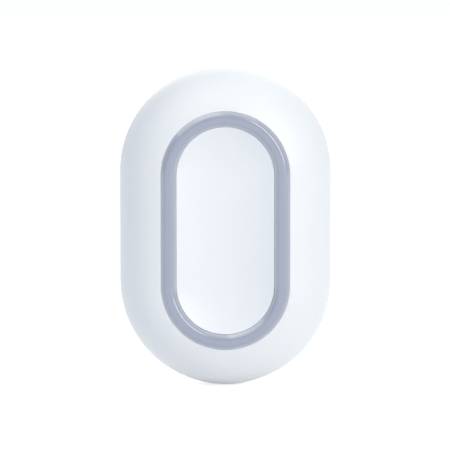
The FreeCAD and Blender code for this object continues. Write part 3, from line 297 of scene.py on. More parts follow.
def prism(name, outline, back, front, back_outline=None):
    # A block through an outline of (x, z) points, between two depths. Its back may be larger.
    builder = bmesh.new()
    rings = [[builder.verts.new((x, -depth, z)) for x, z in points]
             for points, depth in ((back_outline or outline, back), (outline, front))]
    for ring in rings:
        builder.faces.new(ring)
    count = len(outline)
    for corner in range(count):
        ahead = (corner + 1) % count
        builder.faces.new((rings[0][corner], rings[0][ahead], rings[1][ahead], rings[1][corner]))
    return new_object(name, builder)


def rectangle(width, height, x=0.0, z=0.0):
    half_x, half_z = width / 2, height / 2
    corners = ((-half_x, -half_z), (half_x, -half_z), (half_x, half_z), (-half_x, half_z))
    return [(x + right, z + up) for right, up in corners]


def slot_outline(length, width):
    reach = (length - width) / 2
    right_end = arc((reach, 0.0), width / 2, -90, 90, SLOT_STEPS)
    return right_end + arc((-reach, 0.0), width / 2, 90, 270, SLOT_STEPS)


def sector(inner, outer, middle, width):
    # Outline of a piece of a flat ring about the door's axis. Both angles are in degrees.
    first, last = middle - width / 2, middle + width / 2
    outside = arc((0.0, 0.0), outer, first, last, SECTOR_STEPS)
    return outside + arc((0.0, 0.0), inner, last, first, SECTOR_STEPS)


def disc(radius, back, front, x=0.0, z=0.0, steps=SMALL_STEPS, flare=0.0):
    # A round peg along the depth, or with a flare a hole's tool that opens towards the back.
    profile = [(0.0, back), (radius + flare, back), (radius, back + flare), (radius, front), (0.0, front)]
    return sweep("disc", profile, circle_stations(x, z, steps), closed=False)


def combine(piece, tool, operation):
    # Joins a second form to a piece, or takes it away, and deletes the second form.
    modifier = piece.modifiers.new(operation, "BOOLEAN")
    modifier.object = tool
    modifier.operation = operation
    modifier.solver = "EXACT"
    evaluated = piece.evaluated_get(bpy.context.evaluated_depsgraph_get())
    mesh = bpy.data.meshes.new_from_object(evaluated)
    piece.modifiers.clear()
    piece.data = mesh
    bpy.data.objects.remove(tool)


def copy_to(piece, places, turns):
    # Puts one copy of a piece drawn on the middle line at each (x, z) place, turned about its own axis.
    builder = bmesh.new()
    for (x, z), turned in zip(places, turns):
        known = len(builder.verts)
        builder.from_mesh(piece.data)
        builder.verts.ensure_lookup_table()
        move = Matrix.Translation((x, 0.0, z)) @ Matrix.Rotation(math.radians(turned), 4, "Y")
        bmesh.ops.transform(builder, matrix=move, verts=builder.verts[known:])
    builder.to_mesh(piece.data)
    builder.free()


def smooth(piece):
    # Soft shading that keeps real corners, with flat faces kept flat up to their edges.
    for face in piece.data.polygons:
        face.use_smooth = True
    piece.data.set_sharp_from_angle(angle=SHARP)
    modifier = piece.modifiers.new("even_normals", "WEIGHTED_NORMAL")
    modifier.keep_sharp = True


# Making materials

def add_node(tree, kind, inputs=None, **settings):
    node = tree.nodes.new(kind)
    for name, setting in settings.items():
        setattr(node, name, setting)
    for name, number in (inputs or {}).items():
        node.inputs[name].default_value = number
    return node


def new_group(name, inputs, outputs):
    # An empty shader group with named number inputs and their defaults, and named outputs.
    group = bpy.data.node_groups.new(name, "ShaderNodeTree")
    for label, default in inputs.items():
        socket = group.interface.new_socket(name=label, in_out="INPUT", socket_type="NodeSocketFloat")
        socket.default_value = default
    for label in outputs:
        group.interface.new_socket(name=label, in_out="OUTPUT", socket_type="NodeSocketFloat")
    return group, group.nodes.new("NodeGroupInput"), group.nodes.new("NodeGroupOutput")


def moulded_skin_group():
    # The fine skin that a textured mould leaves on plastic, with a slow drift in its gloss.
    group, given, result = new_group("moulded_skin", {"Grains per metre": 9000.0, "Drift per metre": 90.0},
                                     ["Grain", "Drift"])
    place = add_node(group, "ShaderNodeTexCoord")
    grain = add_node(group, "ShaderNodeTexNoise", {"Detail": 3.0, "Roughness": 0.55})
    drift = add_node(group, "ShaderNodeTexNoise", {"Detail": 2.0, "Roughness": 0.5})
    for noise, scale in ((grain, "Grains per metre"), (drift, "Drift per metre")):
        group.links.new(place.outputs["Object"], noise.inputs["Vector"])
        group.links.new(given.outputs[scale], noise.inputs["Scale"])
    group.links.new(grain.outputs["Fac"], result.inputs["Grain"])
    group.links.new(drift.outputs["Fac"], result.inputs["Drift"])
    return group


MOULDED_SKIN = moulded_skin_group()


def new_material(name, **settings):
    # A material with one shader, whose even values are set on the shader itself.
    material = bpy.data.materials.new(name)
    material.use_nodes = True
    shader = material.node_tree.nodes["Principled BSDF"]
    for label, number in settings.items():
        shader.inputs[label.replace("_", " ").title().replace("Ior", "IOR")].default_value = number
    return material, material.node_tree, shader


def place_group(tree, group, **numbers):
    node = tree.nodes.new("ShaderNodeGroup")
    node.node_tree = group
    for label, number in numbers.items():
        node.inputs[label.replace("_", " ").capitalize()].default_value = number
    return node


def spread(tree, source, low, high):
    # Turns a mask from 0 to 1 into numbers between two others.
    node = add_node(tree, "ShaderNodeMapRange", {"To Min": low, "To Max": high})
    tree.links.new(source, node.inputs["Value"])
    return node.outputs["Result"]


def blend_colours(tree, mask, first, second):
    # The first colour where the mask is 0 and the second where it is 1. Each is a socket or a triple.
    node = add_node(tree, "ShaderNodeMix", data_type="RGBA")
    for side, colour in (("A", first), ("B", second)):
        if isinstance(colour, tuple):
            node.inputs[side].default_value = (*colour, 1.0)
        else:
            tree.links.new(colour, node.inputs[side])
    tree.links.new(mask, node.inputs["Factor"])
    return node.outputs["Result"]


def raise_grain(tree, shader, height, distance):
    bump = add_node(tree, "ShaderNodeBump", {"Distance": distance})
    tree.links.new(height, bump.inputs["Height"])
    tree.links.new(bump.outputs["Normal"], shader.inputs["Normal"])


def plastic(name, first, second, roughness, grains=9000.0, grain_height=WHITE_GRAIN):
    # Moulded plastic: a fine skin, a slight drift between two near colours, and uneven gloss.
    material, tree, shader = new_material(name)
    skin = place_group(tree, MOULDED_SKIN, grains_per_metre=grains)
    drift = skin.outputs["Drift"]
    tree.links.new(blend_colours(tree, drift, first, second), shader.inputs["Base Color"])
    tree.links.new(spread(tree, drift, roughness - GLOSS_DRIFT, roughness + GLOSS_DRIFT),
                   shader.inputs["Roughness"])
    raise_grain(tree, shader, skin.outputs["Grain"], grain_height)
    return material


def math_node(tree, operation, first, second=None):
    # One step of arithmetic. Each side is a socket or a plain number.
    node = add_node(tree, "ShaderNodeMath", operation=operation)
    for socket, given in zip(node.inputs, (first, second)):
        if isinstance(given, (int, float)):
            socket.default_value = given
        elif given is not None:
            tree.links.new(given, socket)
    return node.outputs["Value"]


def object_place(tree):
    # Where a point of the surface lies, as one number for each axis.
    place = add_node(tree, "ShaderNodeTexCoord")
    split = add_node(tree, "ShaderNodeSeparateXYZ")
    tree.links.new(place.outputs["Object"], split.inputs["Vector"])
    return split.outputs


def distance_from(tree, out, up, mirrored=False):
    # Distance from a line along the depth through the place (out, up). Mirrored to the left and down,
    # there are four such lines.
    place = object_place(tree)
    squares = []
    for axis, middle in (("X", out), ("Z", up)):
        way = math_node(tree, "ABSOLUTE", place[axis]) if mirrored else place[axis]
        squares.append(math_node(tree, "POWER", math_node(tree, "SUBTRACT", way, middle), 2.0))
    return math_node(tree, "SQRT", math_node(tree, "ADD", *squares))


def inside(tree, distance, radius, softness):
    # A mask that is 1 within a radius and falls to 0 just past it.
    node = add_node(tree, "ShaderNodeMapRange", {"From Min": radius, "From Max": radius + softness,
                                                 "To Min": 1.0, "To Max": 0.0})
    tree.links.new(distance, node.inputs["Value"])
    return node.outputs["Result"]


def painted_edge_glow_group():
    # Painted glow: how near a place on the ring is to the white plastic beside the band, 0 away from it and
    # 1 at it. The ring's colour is lightened by it, standing in for light that shines through.
    group, given, result = new_group("painted_edge_glow", {"Reach": PAINTED_GLOW_REACH}, ["Mask"])
    place = object_place(group)
    height = math_node(group, "ABSOLUTE", place["Z"])
    past_side = math_node(group, "MAXIMUM", math_node(group, "SUBTRACT", height, HALF_SPACING), 0.0)
    across = math_node(group, "POWER", place["X"], 2.0)
    up = math_node(group, "POWER", past_side, 2.0)
    radius = math_node(group, "SQRT", math_node(group, "ADD", across, up))
    middle = RING_HALF - RING_BAND / 2
    off_middle = math_node(group, "ABSOLUTE", math_node(group, "SUBTRACT", radius, middle))
    to_wall = math_node(group, "SUBTRACT", RING_BAND / 2, off_middle)
    near = math_node(group, "SUBTRACT", 1.0, math_node(group, "DIVIDE", to_wall, given.outputs["Reach"]))
    mask = math_node(group, "MAXIMUM", near, 0.0)
    group.links.new(math_node(group, "POWER", mask, PAINTED_GLOW_FALL), result.inputs["Mask"])
    return group


def metal_lines_group():
    # Fine lines on metal, with a slow drift in its tone: straight ones along X, as rolling and brushing
    # leave them, and rings round a line along the depth, as a lathe or a drawing die leaves them.
    group, given, result = new_group("metal_lines", {"Lines per metre": 9000.0, "Out": 0.0, "Up": 0.0},
                                     ["Straight", "Round", "Drift"])
    place = add_node(group, "ShaderNodeTexCoord")
    stretch = add_node(group, "ShaderNodeMapping", {"Scale": (0.03, 1.0, 1.0)})
    straight = add_node(group, "ShaderNodeTexNoise", {"Detail": 3.0, "Roughness": 0.6})
    drift = add_node(group, "ShaderNodeTexNoise", {"Scale": 220.0, "Detail": 3.0, "Roughness": 0.6})
    group.links.new(place.outputs["Object"], stretch.inputs["Vector"])
    group.links.new(place.outputs["Object"], drift.inputs["Vector"])
    group.links.new(stretch.outputs["Vector"], straight.inputs["Vector"])
    group.links.new(given.outputs["Lines per metre"], straight.inputs["Scale"])
    radius = distance_from(group, given.outputs["Out"], given.outputs["Up"], mirrored=True)
    rings = add_node(group, "ShaderNodeTexNoise", {"Detail": 3.0, "Roughness": 0.6}, noise_dimensions="1D")
    group.links.new(radius, rings.inputs["W"])
    group.links.new(given.outputs["Lines per metre"], rings.inputs["Scale"])
    group.links.new(straight.outputs["Fac"], result.inputs["Straight"])
    group.links.new(rings.outputs["Fac"], result.inputs["Round"])
    group.links.new(drift.outputs["Fac"], result.inputs["Drift"])
    return group


PAINTED_EDGE_GLOW = painted_edge_glow_group()
METAL_LINES = metal_lines_group()


def ring_plastic():
    # Translucent grey with a painted glow: the band's colour is lightened near its walls, standing in for
    # light from the white plastic beside it shining through.
    material, tree, shader = new_material("ring_grey", roughness=0.27, coat_weight=1.0, coat_roughness=0.07,
                                          coat_ior=1.75)
    skin = place_group(tree, MOULDED_SKIN)
    edge = place_group(tree, PAINTED_EDGE_GLOW)
    body = blend_colours(tree, skin.outputs["Drift"], (0.280, 0.307, 0.416), (0.290, 0.317, 0.426))
    # Painted glow: the colour goes lighter towards the band's walls, as light through the ring would make
    # it.
    lit = blend_colours(tree, edge.outputs["Mask"], body, (0.44, 0.46, 0.55))
    tree.links.new(lit, shader.inputs["Base Color"])
    raise_grain(tree, shader, skin.outputs["Grain"], RING_GRAIN)
    return material


def metal(name, first, second, roughness, lines="Straight", **axis):
    # Plated or bare metal with its lines, two near tones and uneven gloss. It may have rings round an axis.
    material, tree, shader = new_material(name, metallic=1.0)
    marks = place_group(tree, METAL_LINES, **axis)
    tree.links.new(blend_colours(tree, marks.outputs["Drift"], first, second), shader.inputs["Base Color"])
    worn = math_node(tree, "MULTIPLY", marks.outputs["Drift"], marks.outputs[lines])
    tree.links.new(spread(tree, worn, roughness - METAL_POLISH, roughness + METAL_WEAR),
                   shader.inputs["Roughness"])
    raise_grain(tree, shader, marks.outputs[lines], LINE_HEIGHT)
    return material


def screw_plate():
    # Zinc plate with turned rings round each screw's axis. The punched recess has painted shade: its colour
    # is dark past its mouth.
    material = metal("screw_steel", (0.46, 0.47, 0.50), (0.60, 0.60, 0.59), 0.34, lines="Round",
                     out=SCREW_X, up=SCREW_Z)
    tree = material.node_tree
    shader = tree.nodes["Principled BSDF"]
    plate = shader.inputs["Base Color"].links[0].from_socket
    back_to_front = object_place(tree)["Y"]
    sunk = math_node(tree, "LESS_THAN", back_to_front, -SCREW_FACE - RECESS_MOUTH)
    in_head = math_node(tree, "GREATER_THAN", back_to_front, -SCREW_FACE - SCREW_HEAD_HEIGHT)
    off_axis = distance_from(tree, SCREW_X, SCREW_Z, mirrored=True)
    painted_shade_depth = math_node(tree, "MULTIPLY", sunk, in_head)
    recess = math_node(tree, "MULTIPLY", painted_shade_depth, inside(tree, off_axis, RECESS_LENGTH / 2, EDGE_ROUND))
    # Painted shade: the recess past its mouth takes a dark colour where shade would fall.
    tree.links.new(blend_colours(tree, recess, plate, (0.11, 0.11, 0.12)), shader.inputs["Base Color"])
    return material


def board_laminate():
    # Green solder mask over patches of copper: rows of traces across or up, and filled areas. Tinned
    # holes lie between them, and a fine weave beneath.
    material, tree, shader = new_material("board_green", coat_weight=0.35, coat_roughness=0.2)
    place = object_place(tree)
    flat = add_node(tree, "ShaderNodeCombineXYZ")
    tree.links.new(place["X"], flat.inputs["X"])
    tree.links.new(place["Z"], flat.inputs["Y"])
    patches = add_node(tree, "ShaderNodeTexVoronoi", {"Scale": 260.0, "Randomness": 0.85},
                       distance="CHEBYCHEV")
    holes = add_node(tree, "ShaderNodeTexVoronoi", {"Scale": 330.0, "Randomness": 0.75})
    weave = add_node(tree, "ShaderNodeTexWave", {"Scale": 900.0, "Distortion": 1.5, "Detail": 1.0})
    for pattern in (patches, holes, weave):
        tree.links.new(flat.outputs["Vector"], pattern.inputs["Vector"])
    kind = add_node(tree, "ShaderNodeSeparateColor")
    tree.links.new(patches.outputs["Color"], kind.inputs["Color"])
    rows = []
    for axis, middle in TRACE_PATCHES:
        off_trace = math_node(tree, "PINGPONG", place[axis], TRACE_PITCH / 2)
        trace = math_node(tree, "LESS_THAN", off_trace, TRACE_WIDTH / 2)
        off_middle = math_node(tree, "ABSOLUTE", math_node(tree, "SUBTRACT", kind.outputs["Red"], middle))
        in_patch = math_node(tree, "LESS_THAN", off_middle, PATCH_REACH)
        rows.append(math_node(tree, "MULTIPLY", trace, in_patch))
    filled = math_node(tree, "GREATER_THAN", kind.outputs["Red"], FILLED_FROM)
    traces = math_node(tree, "MAXIMUM", math_node(tree, "MAXIMUM", *rows), filled)
    mask = blend_colours(tree, weave.outputs["Fac"], (0.026, 0.165, 0.075), (0.034, 0.195, 0.090))
    copper = blend_colours(tree, traces, mask, (0.058, 0.270, 0.115))
    rim = inside(tree, holes.outputs["Distance"], *HOLE_RIM)
    bore = inside(tree, holes.outputs["Distance"], *HOLE_BORE)
    tinned = math_node(tree, "SUBTRACT", rim, bore)
    plated = blend_colours(tree, tinned, copper, (0.78, 0.74, 0.66))
    tree.links.new(plated, shader.inputs["Base Color"])
    tree.links.new(tinned, shader.inputs["Metallic"])
    tree.links.new(spread(tree, weave.outputs["Fac"], 0.30, 0.42), shader.inputs["Roughness"])
    height = math_node(tree, "SUBTRACT", math_node(tree, "ADD", traces, tinned), bore)
    raise_grain(tree, shader, height, COPPER_HEIGHT)
    return material


def chip_epoxy():
    # Black moulded package with a sparkle of filler, a round mark at its first corner and tinned pads
    # along the foot of its sides.
    material, tree, shader = new_material("chip_black")
    low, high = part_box("main_chip")
    skin = place_group(tree, MOULDED_SKIN, grains_per_metre=26000.0)
    off_mark = distance_from(tree, MARK_SHARE * low.x, MARK_SHARE * high.z)
    mark = inside(tree, off_mark, MARK_RADIUS, MARK_SOFTNESS)
    place = object_place(tree)
    foot = math_node(tree, "GREATER_THAN", place["Y"], high.y - PAD_HEIGHT)
    rows = []
    for axis in ("X", "Z"):
        along = math_node(tree, "PINGPONG", place[axis], PAD_PITCH / 2)
        pads = math_node(tree, "GREATER_THAN", along, PAD_PITCH / 4)
        off_middle = math_node(tree, "ABSOLUTE", place[axis])
        within = math_node(tree, "LESS_THAN", off_middle, PAD_ROW_SHARE * high.x)
        rows.append(math_node(tree, "MULTIPLY", pads, within))
    tinned = math_node(tree, "MULTIPLY", foot, math_node(tree, "MAXIMUM", *rows))
    body = blend_colours(tree, skin.outputs["Grain"], (0.020, 0.020, 0.022), (0.036, 0.036, 0.039))
    marked = blend_colours(tree, mark, body, (0.070, 0.070, 0.074))
    plated = blend_colours(tree, tinned, marked, (0.76, 0.75, 0.72))
    tree.links.new(plated, shader.inputs["Base Color"])
    tree.links.new(tinned, shader.inputs["Metallic"])
    tree.links.new(spread(tree, mark, 0.58, 0.34), shader.inputs["Roughness"])
    raise_grain(tree, shader, math_node(tree, "SUBTRACT", skin.outputs["Grain"], mark), CHIP_GRAIN)
    return material


def diode_cap():
    # White body with a yellow phosphor window in its middle and a tinned pad at each end.
    material, tree, shader = new_material("led_white", coat_weight=0.6, coat_roughness=0.12)
    skin = place_group(tree, MOULDED_SKIN, grains_per_metre=16000.0)
    off_axis = distance_from(tree, LEG_X, LEG_Z, mirrored=True)
    window = inside(tree, off_axis, WINDOW_RADIUS, WINDOW_SOFTNESS)
    height = math_node(tree, "ABSOLUTE", object_place(tree)["Z"])
    off_middle = math_node(tree, "ABSOLUTE", math_node(tree, "SUBTRACT", height, LEG_Z))
    pad = math_node(tree, "GREATER_THAN", off_middle, DIODE_PAD_START)
    body = blend_colours(tree, skin.outputs["Drift"], (0.80, 0.79, 0.74), (0.88, 0.87, 0.81))
    phosphor = blend_colours(tree, window, body, (0.86, 0.66, 0.16))
    plated = blend_colours(tree, pad, phosphor, (0.80, 0.79, 0.76))
    tree.links.new(plated, shader.inputs["Base Color"])
    tree.links.new(pad, shader.inputs["Metallic"])
    tree.links.new(spread(tree, skin.outputs["Grain"], 0.28, 0.40), shader.inputs["Roughness"])
    raise_grain(tree, shader, skin.outputs["Grain"], DIODE_GRAIN)
    return material


def silicone():
    # Soft dark seal rubber: dull, with a matt bloom and a trace of dust in its grain.
    material, tree, shader = new_material("seal_rubber", sheen_weight=0.15, sheen_roughness=0.5)
    skin = place_group(tree, MOULDED_SKIN, grains_per_metre=12000.0, drift_per_metre=260.0)
    body = blend_colours(tree, skin.outputs["Drift"], (0.050, 0.053, 0.060), (0.078, 0.081, 0.089))
    dusty = math_node(tree, "GREATER_THAN", skin.outputs["Grain"], DUST_FROM)
    tree.links.new(blend_colours(tree, dusty, body, (0.13, 0.13, 0.135)), shader.inputs["Base Color"])
    tree.links.new(spread(tree, skin.outputs["Drift"], 0.55, 0.78), shader.inputs["Roughness"])
    raise_grain(tree, shader, skin.outputs["Grain"], SEAL_GRAIN)
    return material


# The finishes

CASE_WHITE = plastic("case_white", (0.842, 0.854, 0.890), (0.857, 0.869, 0.900), 0.42)
BUTTON_WHITE = plastic("button_white", (0.837, 0.849, 0.895), (0.849, 0.862, 0.905), 0.36)
RING_GREY = ring_plastic()
SEAL_RUBBER = silicone()
BOARD_GREEN = board_laminate()
CHIP_BLACK = chip_epoxy()
HOLDER_BLACK = plastic("holder_black", (0.030, 0.030, 0.033), (0.048, 0.048, 0.052), 0.5, grains=7000.0,
                       grain_height=HOLDER_GRAIN)
CAN_TIN = metal("can_tin", (0.66, 0.66, 0.63), (0.76, 0.76, 0.73), 0.30)
CONTACT_STEEL = metal("contact_steel", (0.70, 0.68, 0.62), (0.80, 0.78, 0.72), 0.22)
CELL_STEEL = metal("cell_steel", (0.72, 0.72, 0.72), (0.80, 0.80, 0.80), 0.20, lines="Round")
SCREW_STEEL = screw_plate()
LED_WHITE = diode_cap()


# The object's pieces

def fit_piece(piece, body, material, replaced):
    smooth(piece)
    piece.data.materials.clear()
    piece.data.materials.append(material)
    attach(piece, body)
    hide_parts(replaced)


def dome_point(half):
    # Depth of the dome's outer face at a distance from the middle line.
    return DOME_START + math.sqrt(DOME_RADIUS ** 2 - (half - DOME_CENTRE) ** 2)


def make_front_shell():
    dome = (DOME_CENTRE, DOME_START)
    eased = DOME_RADIUS - CHANNEL_EDGE
    edge_half = CHANNEL_HALF + CHANNEL_EDGE
    edge = (edge_half, DOME_START + math.sqrt(eased ** 2 - (edge_half - DOME_CENTRE) ** 2))
    edge_angle = math.degrees(math.atan2(edge[1] - DOME_START, edge[0] - DOME_CENTRE))
    roof = DOME_RADIUS - SHELL_WALL
    roof_angle = math.degrees(math.asin((LEDGE_BACK - DOME_START) / roof))
    profile = [(CASE_HALF - SHELL_WALL, PARTING)]
    profile += arc((CASE_HALF - EDGE_ROUND, PARTING + EDGE_ROUND), EDGE_ROUND, -90, 0, steps=4)
    profile += arc(dome, DOME_RADIUS, 0, edge_angle, steps=40)
    profile += arc(edge, CHANNEL_EDGE, edge_angle, 180, steps=6)[1:]
    profile += [(CHANNEL_HALF, RING_SEAT), (OPENING_HALF, RING_SEAT), (OPENING_HALF, LEDGE_BACK)]
    profile += arc(dome, roof, roof_angle, 0, steps=20)
    shell = sweep("front_shell_moulding", profile, stadium_stations())
    screw_reach = math.hypot(SCREW_X, SCREW_Z - HALF_SPACING)
    boss_end = dome_point(screw_reach + BOSS_RADIUS) - BOSS_COVER
    hole_end = SCREW_END + THREAD_HOLE_SPARE
    for x, z in SCREW_PLACES:
        combine(shell, disc(BOSS_RADIUS, BOARD_FRONT, boss_end, x, z), "UNION")
        combine(shell, disc(THREAD_HOLE_RADIUS, BOARD_FRONT - EDGE_ROUND, hole_end, x, z), "DIFFERENCE")
    for x, z in LEG_PLACES:
        outline = rectangle(LEG_WIDTH + 2 * SLOT_FIT, LEG_LENGTH + 2 * SLOT_FIT, x, z)
        slot = prism("leg_slot", outline, LEDGE_BACK - JOIN_LAP, RING_SEAT + SLOT_FIT)
        combine(shell, slot, "DIFFERENCE")
    return shell


def make_light_ring():
    # A flat top between two sloping sides, with soft edges between them.
    inner = RING_HALF - RING_BAND
    slope = math.atan2(RING_SLOPE_HEIGHT, RING_SLOPE_WIDTH)
    run_in = RING_EDGE * math.tan(slope / 2)
    flat_end = RING_HALF - RING_SLOPE_WIDTH - run_in
    flat_start = inner + RING_SLOPE_WIDTH + run_in
    low = RING_TOP - RING_EDGE
    tilt = math.degrees(slope)
    profile = [(RING_HALF, RING_SEAT), (RING_HALF, RING_TOP - RING_SLOPE_HEIGHT)]
    profile += arc((flat_end, low), RING_EDGE, 90 - tilt, 90, steps=8)
    profile += arc((flat_start, low), RING_EDGE, 90, 90 + tilt, steps=8)
    profile += [(inner, RING_TOP - RING_SLOPE_HEIGHT), (inner, RING_SEAT)]
    ring = sweep("light_ring_bead", profile, stadium_stations())
    for x, z in LEG_PLACES:
        outline = rectangle(LEG_WIDTH, LEG_LENGTH, x, z)
        combine(ring, prism("leg", outline, LEG_END, RING_SEAT + JOIN_LAP), "UNION")
    return ring


def make_button_cap():
    dish_centre = BUTTON_RIM + math.sqrt(DISH_RADIUS ** 2 - BUTTON_HALF ** 2)
    edge_x = BUTTON_HALF - BUTTON_EDGE
    outer = DISH_RADIUS + BUTTON_EDGE
    edge = (edge_x, dish_centre - math.sqrt(outer ** 2 - edge_x ** 2))
    edge_angle = math.degrees(math.atan2(dish_centre - edge[1], -edge_x))
    rim_angle = math.degrees(math.asin(edge_x / outer))
    inside_face = dish_centre - DISH_RADIUS - BUTTON_FLOOR
    skirt = BUTTON_HALF - BUTTON_WALL
    flange_back = FLANGE_FRONT - FLANGE_WALL
    profile = arc((0.0, dish_centre), DISH_RADIUS, -90, -90 + rim_angle, steps=24)
    profile += arc(edge, BUTTON_EDGE, edge_angle, 0, steps=10)[1:]
    profile += [(BUTTON_HALF, FLANGE_FRONT), (FLANGE_HALF, FLANGE_FRONT), (FLANGE_HALF, flange_back)]
    profile += [(skirt, flange_back), (skirt, inside_face), (0.0, inside_face)]
    cap = sweep("button_cap_moulding", profile, stadium_stations(), closed=False)
    for z in (SWITCH_REACH, -SWITCH_REACH):
        combine(cap, disc(STEM_RADIUS, STEM_END, inside_face + JOIN_LAP, z=z), "UNION")
    beside_stem = SWITCH_REACH + STEM_RADIUS + RIB_GAP + RIB_WALL / 2
    for z in (beside_stem, 0.0, -beside_stem):
        outline = rectangle(2 * (skirt + JOIN_LAP), RIB_WALL, z=z)
        combine(cap, prism("rib", outline, inside_face - RIB_HEIGHT, inside_face + JOIN_LAP), "UNION")
    return cap


def make_rear_cover():
    outer = CASE_HALF - REAR_ROUND
    groove = CASE_HALF - SEAL_INSET
    lip = CASE_HALF - SHELL_WALL - LIP_FIT
    edge = (CASE_HALF - EDGE_ROUND, PARTING - EDGE_ROUND)
    profile = [(0.0, 0.0)] + arc((outer, REAR_ROUND), REAR_ROUND, -90, 0, steps=16)
    profile += arc(edge, EDGE_ROUND, 0, 90, steps=4)
    profile += [(groove, PARTING), (groove, PARTING - SEAL_GROOVE)]
    profile += [(groove - SEAL_GROOVE, PARTING - SEAL_GROOVE), (groove - SEAL_GROOVE, PARTING)]
    profile += [(lip, PARTING), (lip, PARTING + LIP_HEIGHT), (lip - LIP_WALL, PARTING + LIP_HEIGHT)]
    profile += [(lip - LIP_WALL, PLATE_WALL), (0.0, PLATE_WALL)]
    cover = sweep("rear_cover_moulding", profile, stadium_stations(), closed=False)
    seat = DOOR_FACE + DOOR_FLANGE_WALL + DOOR_FLANGE_GAP
    lock_face = seat + DOOR_SEAT_WALL
    recess = DOOR_RADIUS + DOOR_FIT
    combine(cover, disc(recess + DOOR_LAND, PLATE_WALL - JOIN_LAP, lock_face, steps=CIRCLE_STEPS), "UNION")
    for x, z in SCREW_PLACES:
        combine(cover, disc(PILLAR_RADIUS, PLATE_WALL - JOIN_LAP, BOARD_BACK, x, z), "UNION")
    out = 2 * EDGE_ROUND
    combine(cover, disc(recess, -out, seat, steps=CIRCLE_STEPS), "DIFFERENCE")
    combine(cover, disc(recess + out, -out, out, steps=CIRCLE_STEPS, flare=2 * out), "DIFFERENCE")
    hub = HUB_RADIUS + DOOR_FIT
    combine(cover, disc(hub, 0.0, 2 * lock_face, steps=CIRCLE_STEPS), "DIFFERENCE")
    lug_end = HUB_RADIUS + LUG_REACH + DOOR_FIT
    stop_end = lock_face + LUG_FIT + LUG_WALL
    offset = (LUG_ANGLE + STOP_ANGLE) / 2 + STOP_GAP
    spare = (NOTCH_ANGLE - LUG_ANGLE) / 2
    for locked in LUG_MIDDLES:
        free = locked - DOOR_TURN
        notch = prism("notch", sector(hub / 2, lug_end, free, NOTCH_ANGLE), 0.0, 2 * lock_face)
        combine(cover, notch, "DIFFERENCE")
        for stop in (locked + offset, free - offset - spare):
            outline = sector(hub + LUG_FIT, lug_end, stop, STOP_ANGLE)
            combine(cover, prism("stop", outline, lock_face - JOIN_LAP, stop_end), "UNION")
    head_seat = SCREW_FACE + SCREW_HEAD_HEIGHT
    for x, z in SCREW_PLACES:
        combine(cover, disc(COUNTERBORE_RADIUS, -out, head_seat, x, z), "DIFFERENCE")
        flared = disc(COUNTERBORE_RADIUS, -out, HOLE_FLARE, x, z, flare=HOLE_FLARE + out)
        combine(cover, flared, "DIFFERENCE")
        combine(cover, disc(SHANK_HOLE_RADIUS, 0.0, 2 * BOARD_BACK, x, z), "DIFFERENCE")
    return cover


def make_battery_door():
    flange = DOOR_FACE + DOOR_FLANGE_WALL
    plate = DOOR_FACE + DOOR_FLOOR
    groove = DOOR_RADIUS - DOOR_SEAL_INSET
    groove_floor = flange - DOOR_SEAL + DOOR_FLANGE_GAP
    profile = [(0.0, DOOR_FACE)]
    profile += arc((DOOR_RADIUS - DOOR_EDGE, DOOR_FACE + DOOR_EDGE), DOOR_EDGE, -90, 0, steps=6)
    profile += [(DOOR_RADIUS, flange), (groove, flange), (groove, groove_floor)]
    profile += [(groove - DOOR_SEAL, groove_floor), (groove - DOOR_SEAL, flange), (HUB_RADIUS, flange)]
    profile += [(HUB_RADIUS, HUB_END), (HUB_RADIUS - DOOR_HUB_WALL, HUB_END)]
    profile += [(HUB_RADIUS - DOOR_HUB_WALL, plate), (0.0, plate)]
    door = sweep("battery_door_moulding", profile, circle_stations(), closed=False)
    lug_back = flange + DOOR_FLANGE_GAP + DOOR_SEAT_WALL + LUG_FIT
    for locked in LUG_MIDDLES:
        outline = sector(HUB_RADIUS - JOIN_LAP, HUB_RADIUS + LUG_REACH, locked, LUG_ANGLE)
        combine(door, prism("lug", outline, lug_back, lug_back + LUG_WALL), "UNION")
    outline = slot_outline(COIN_SLOT_LENGTH, COIN_SLOT_WIDTH)
    combine(door, prism("coin_slot", outline, 0.0, DOOR_FACE + COIN_SLOT_DEPTH), "DIFFERENCE")
    # The mouth opens at 45 degrees, and its tool starts as far outside the door as it goes in.
    opened = 4 * COIN_SLOT_MOUTH
    mouth = slot_outline(COIN_SLOT_LENGTH + opened, COIN_SLOT_WIDTH + opened)
    tool = prism("slot_mouth", outline, DOOR_FACE - COIN_SLOT_MOUTH, DOOR_FACE + COIN_SLOT_MOUTH, mouth)
    combine(door, tool, "DIFFERENCE")
    return door


def make_thread():
    # The shank on the middle line: rows of points whose radius rises to the crest once in each turn.
    start, end = SCREW_FACE + SCREW_HEAD_HEIGHT - JOIN_LAP, SCREW_END
    count = round((end - start) / SCREW_PITCH * THREAD_ROWS)
    builder = bmesh.new()
    rows = []
    for row in range(count + 1):
        depth = start + (end - start) * row / count
        point = TIP_SHARE + (1.0 - TIP_SHARE) * min(1.0, (end - depth) / SCREW_POINT)
        ring = []
        for step in range(THREAD_STEPS):
            angle = 2 * math.pi * step / THREAD_STEPS
            phase = (depth / SCREW_PITCH + step / THREAD_STEPS) % 1.0
            crest = max(0.0, 1.0 - 2.0 * abs(phase - 0.5) / THREAD_SHARE)
            radius = point * (SCREW_CORE_RADIUS + crest * (SCREW_THREAD_RADIUS - SCREW_CORE_RADIUS))
            ring.append(builder.verts.new((radius * math.cos(angle), -depth, radius * math.sin(angle))))
        rows.append(ring)
    for ring, following in zip(rows, rows[1:]):
        for step in range(THREAD_STEPS):
            ahead = (step + 1) % THREAD_STEPS
            builder.faces.new((ring[step], ring[ahead], following[ahead], following[step]))
    builder.faces.new(rows[0])
    builder.faces.new(rows[-1])
    return new_object("case_screws_threaded", builder)


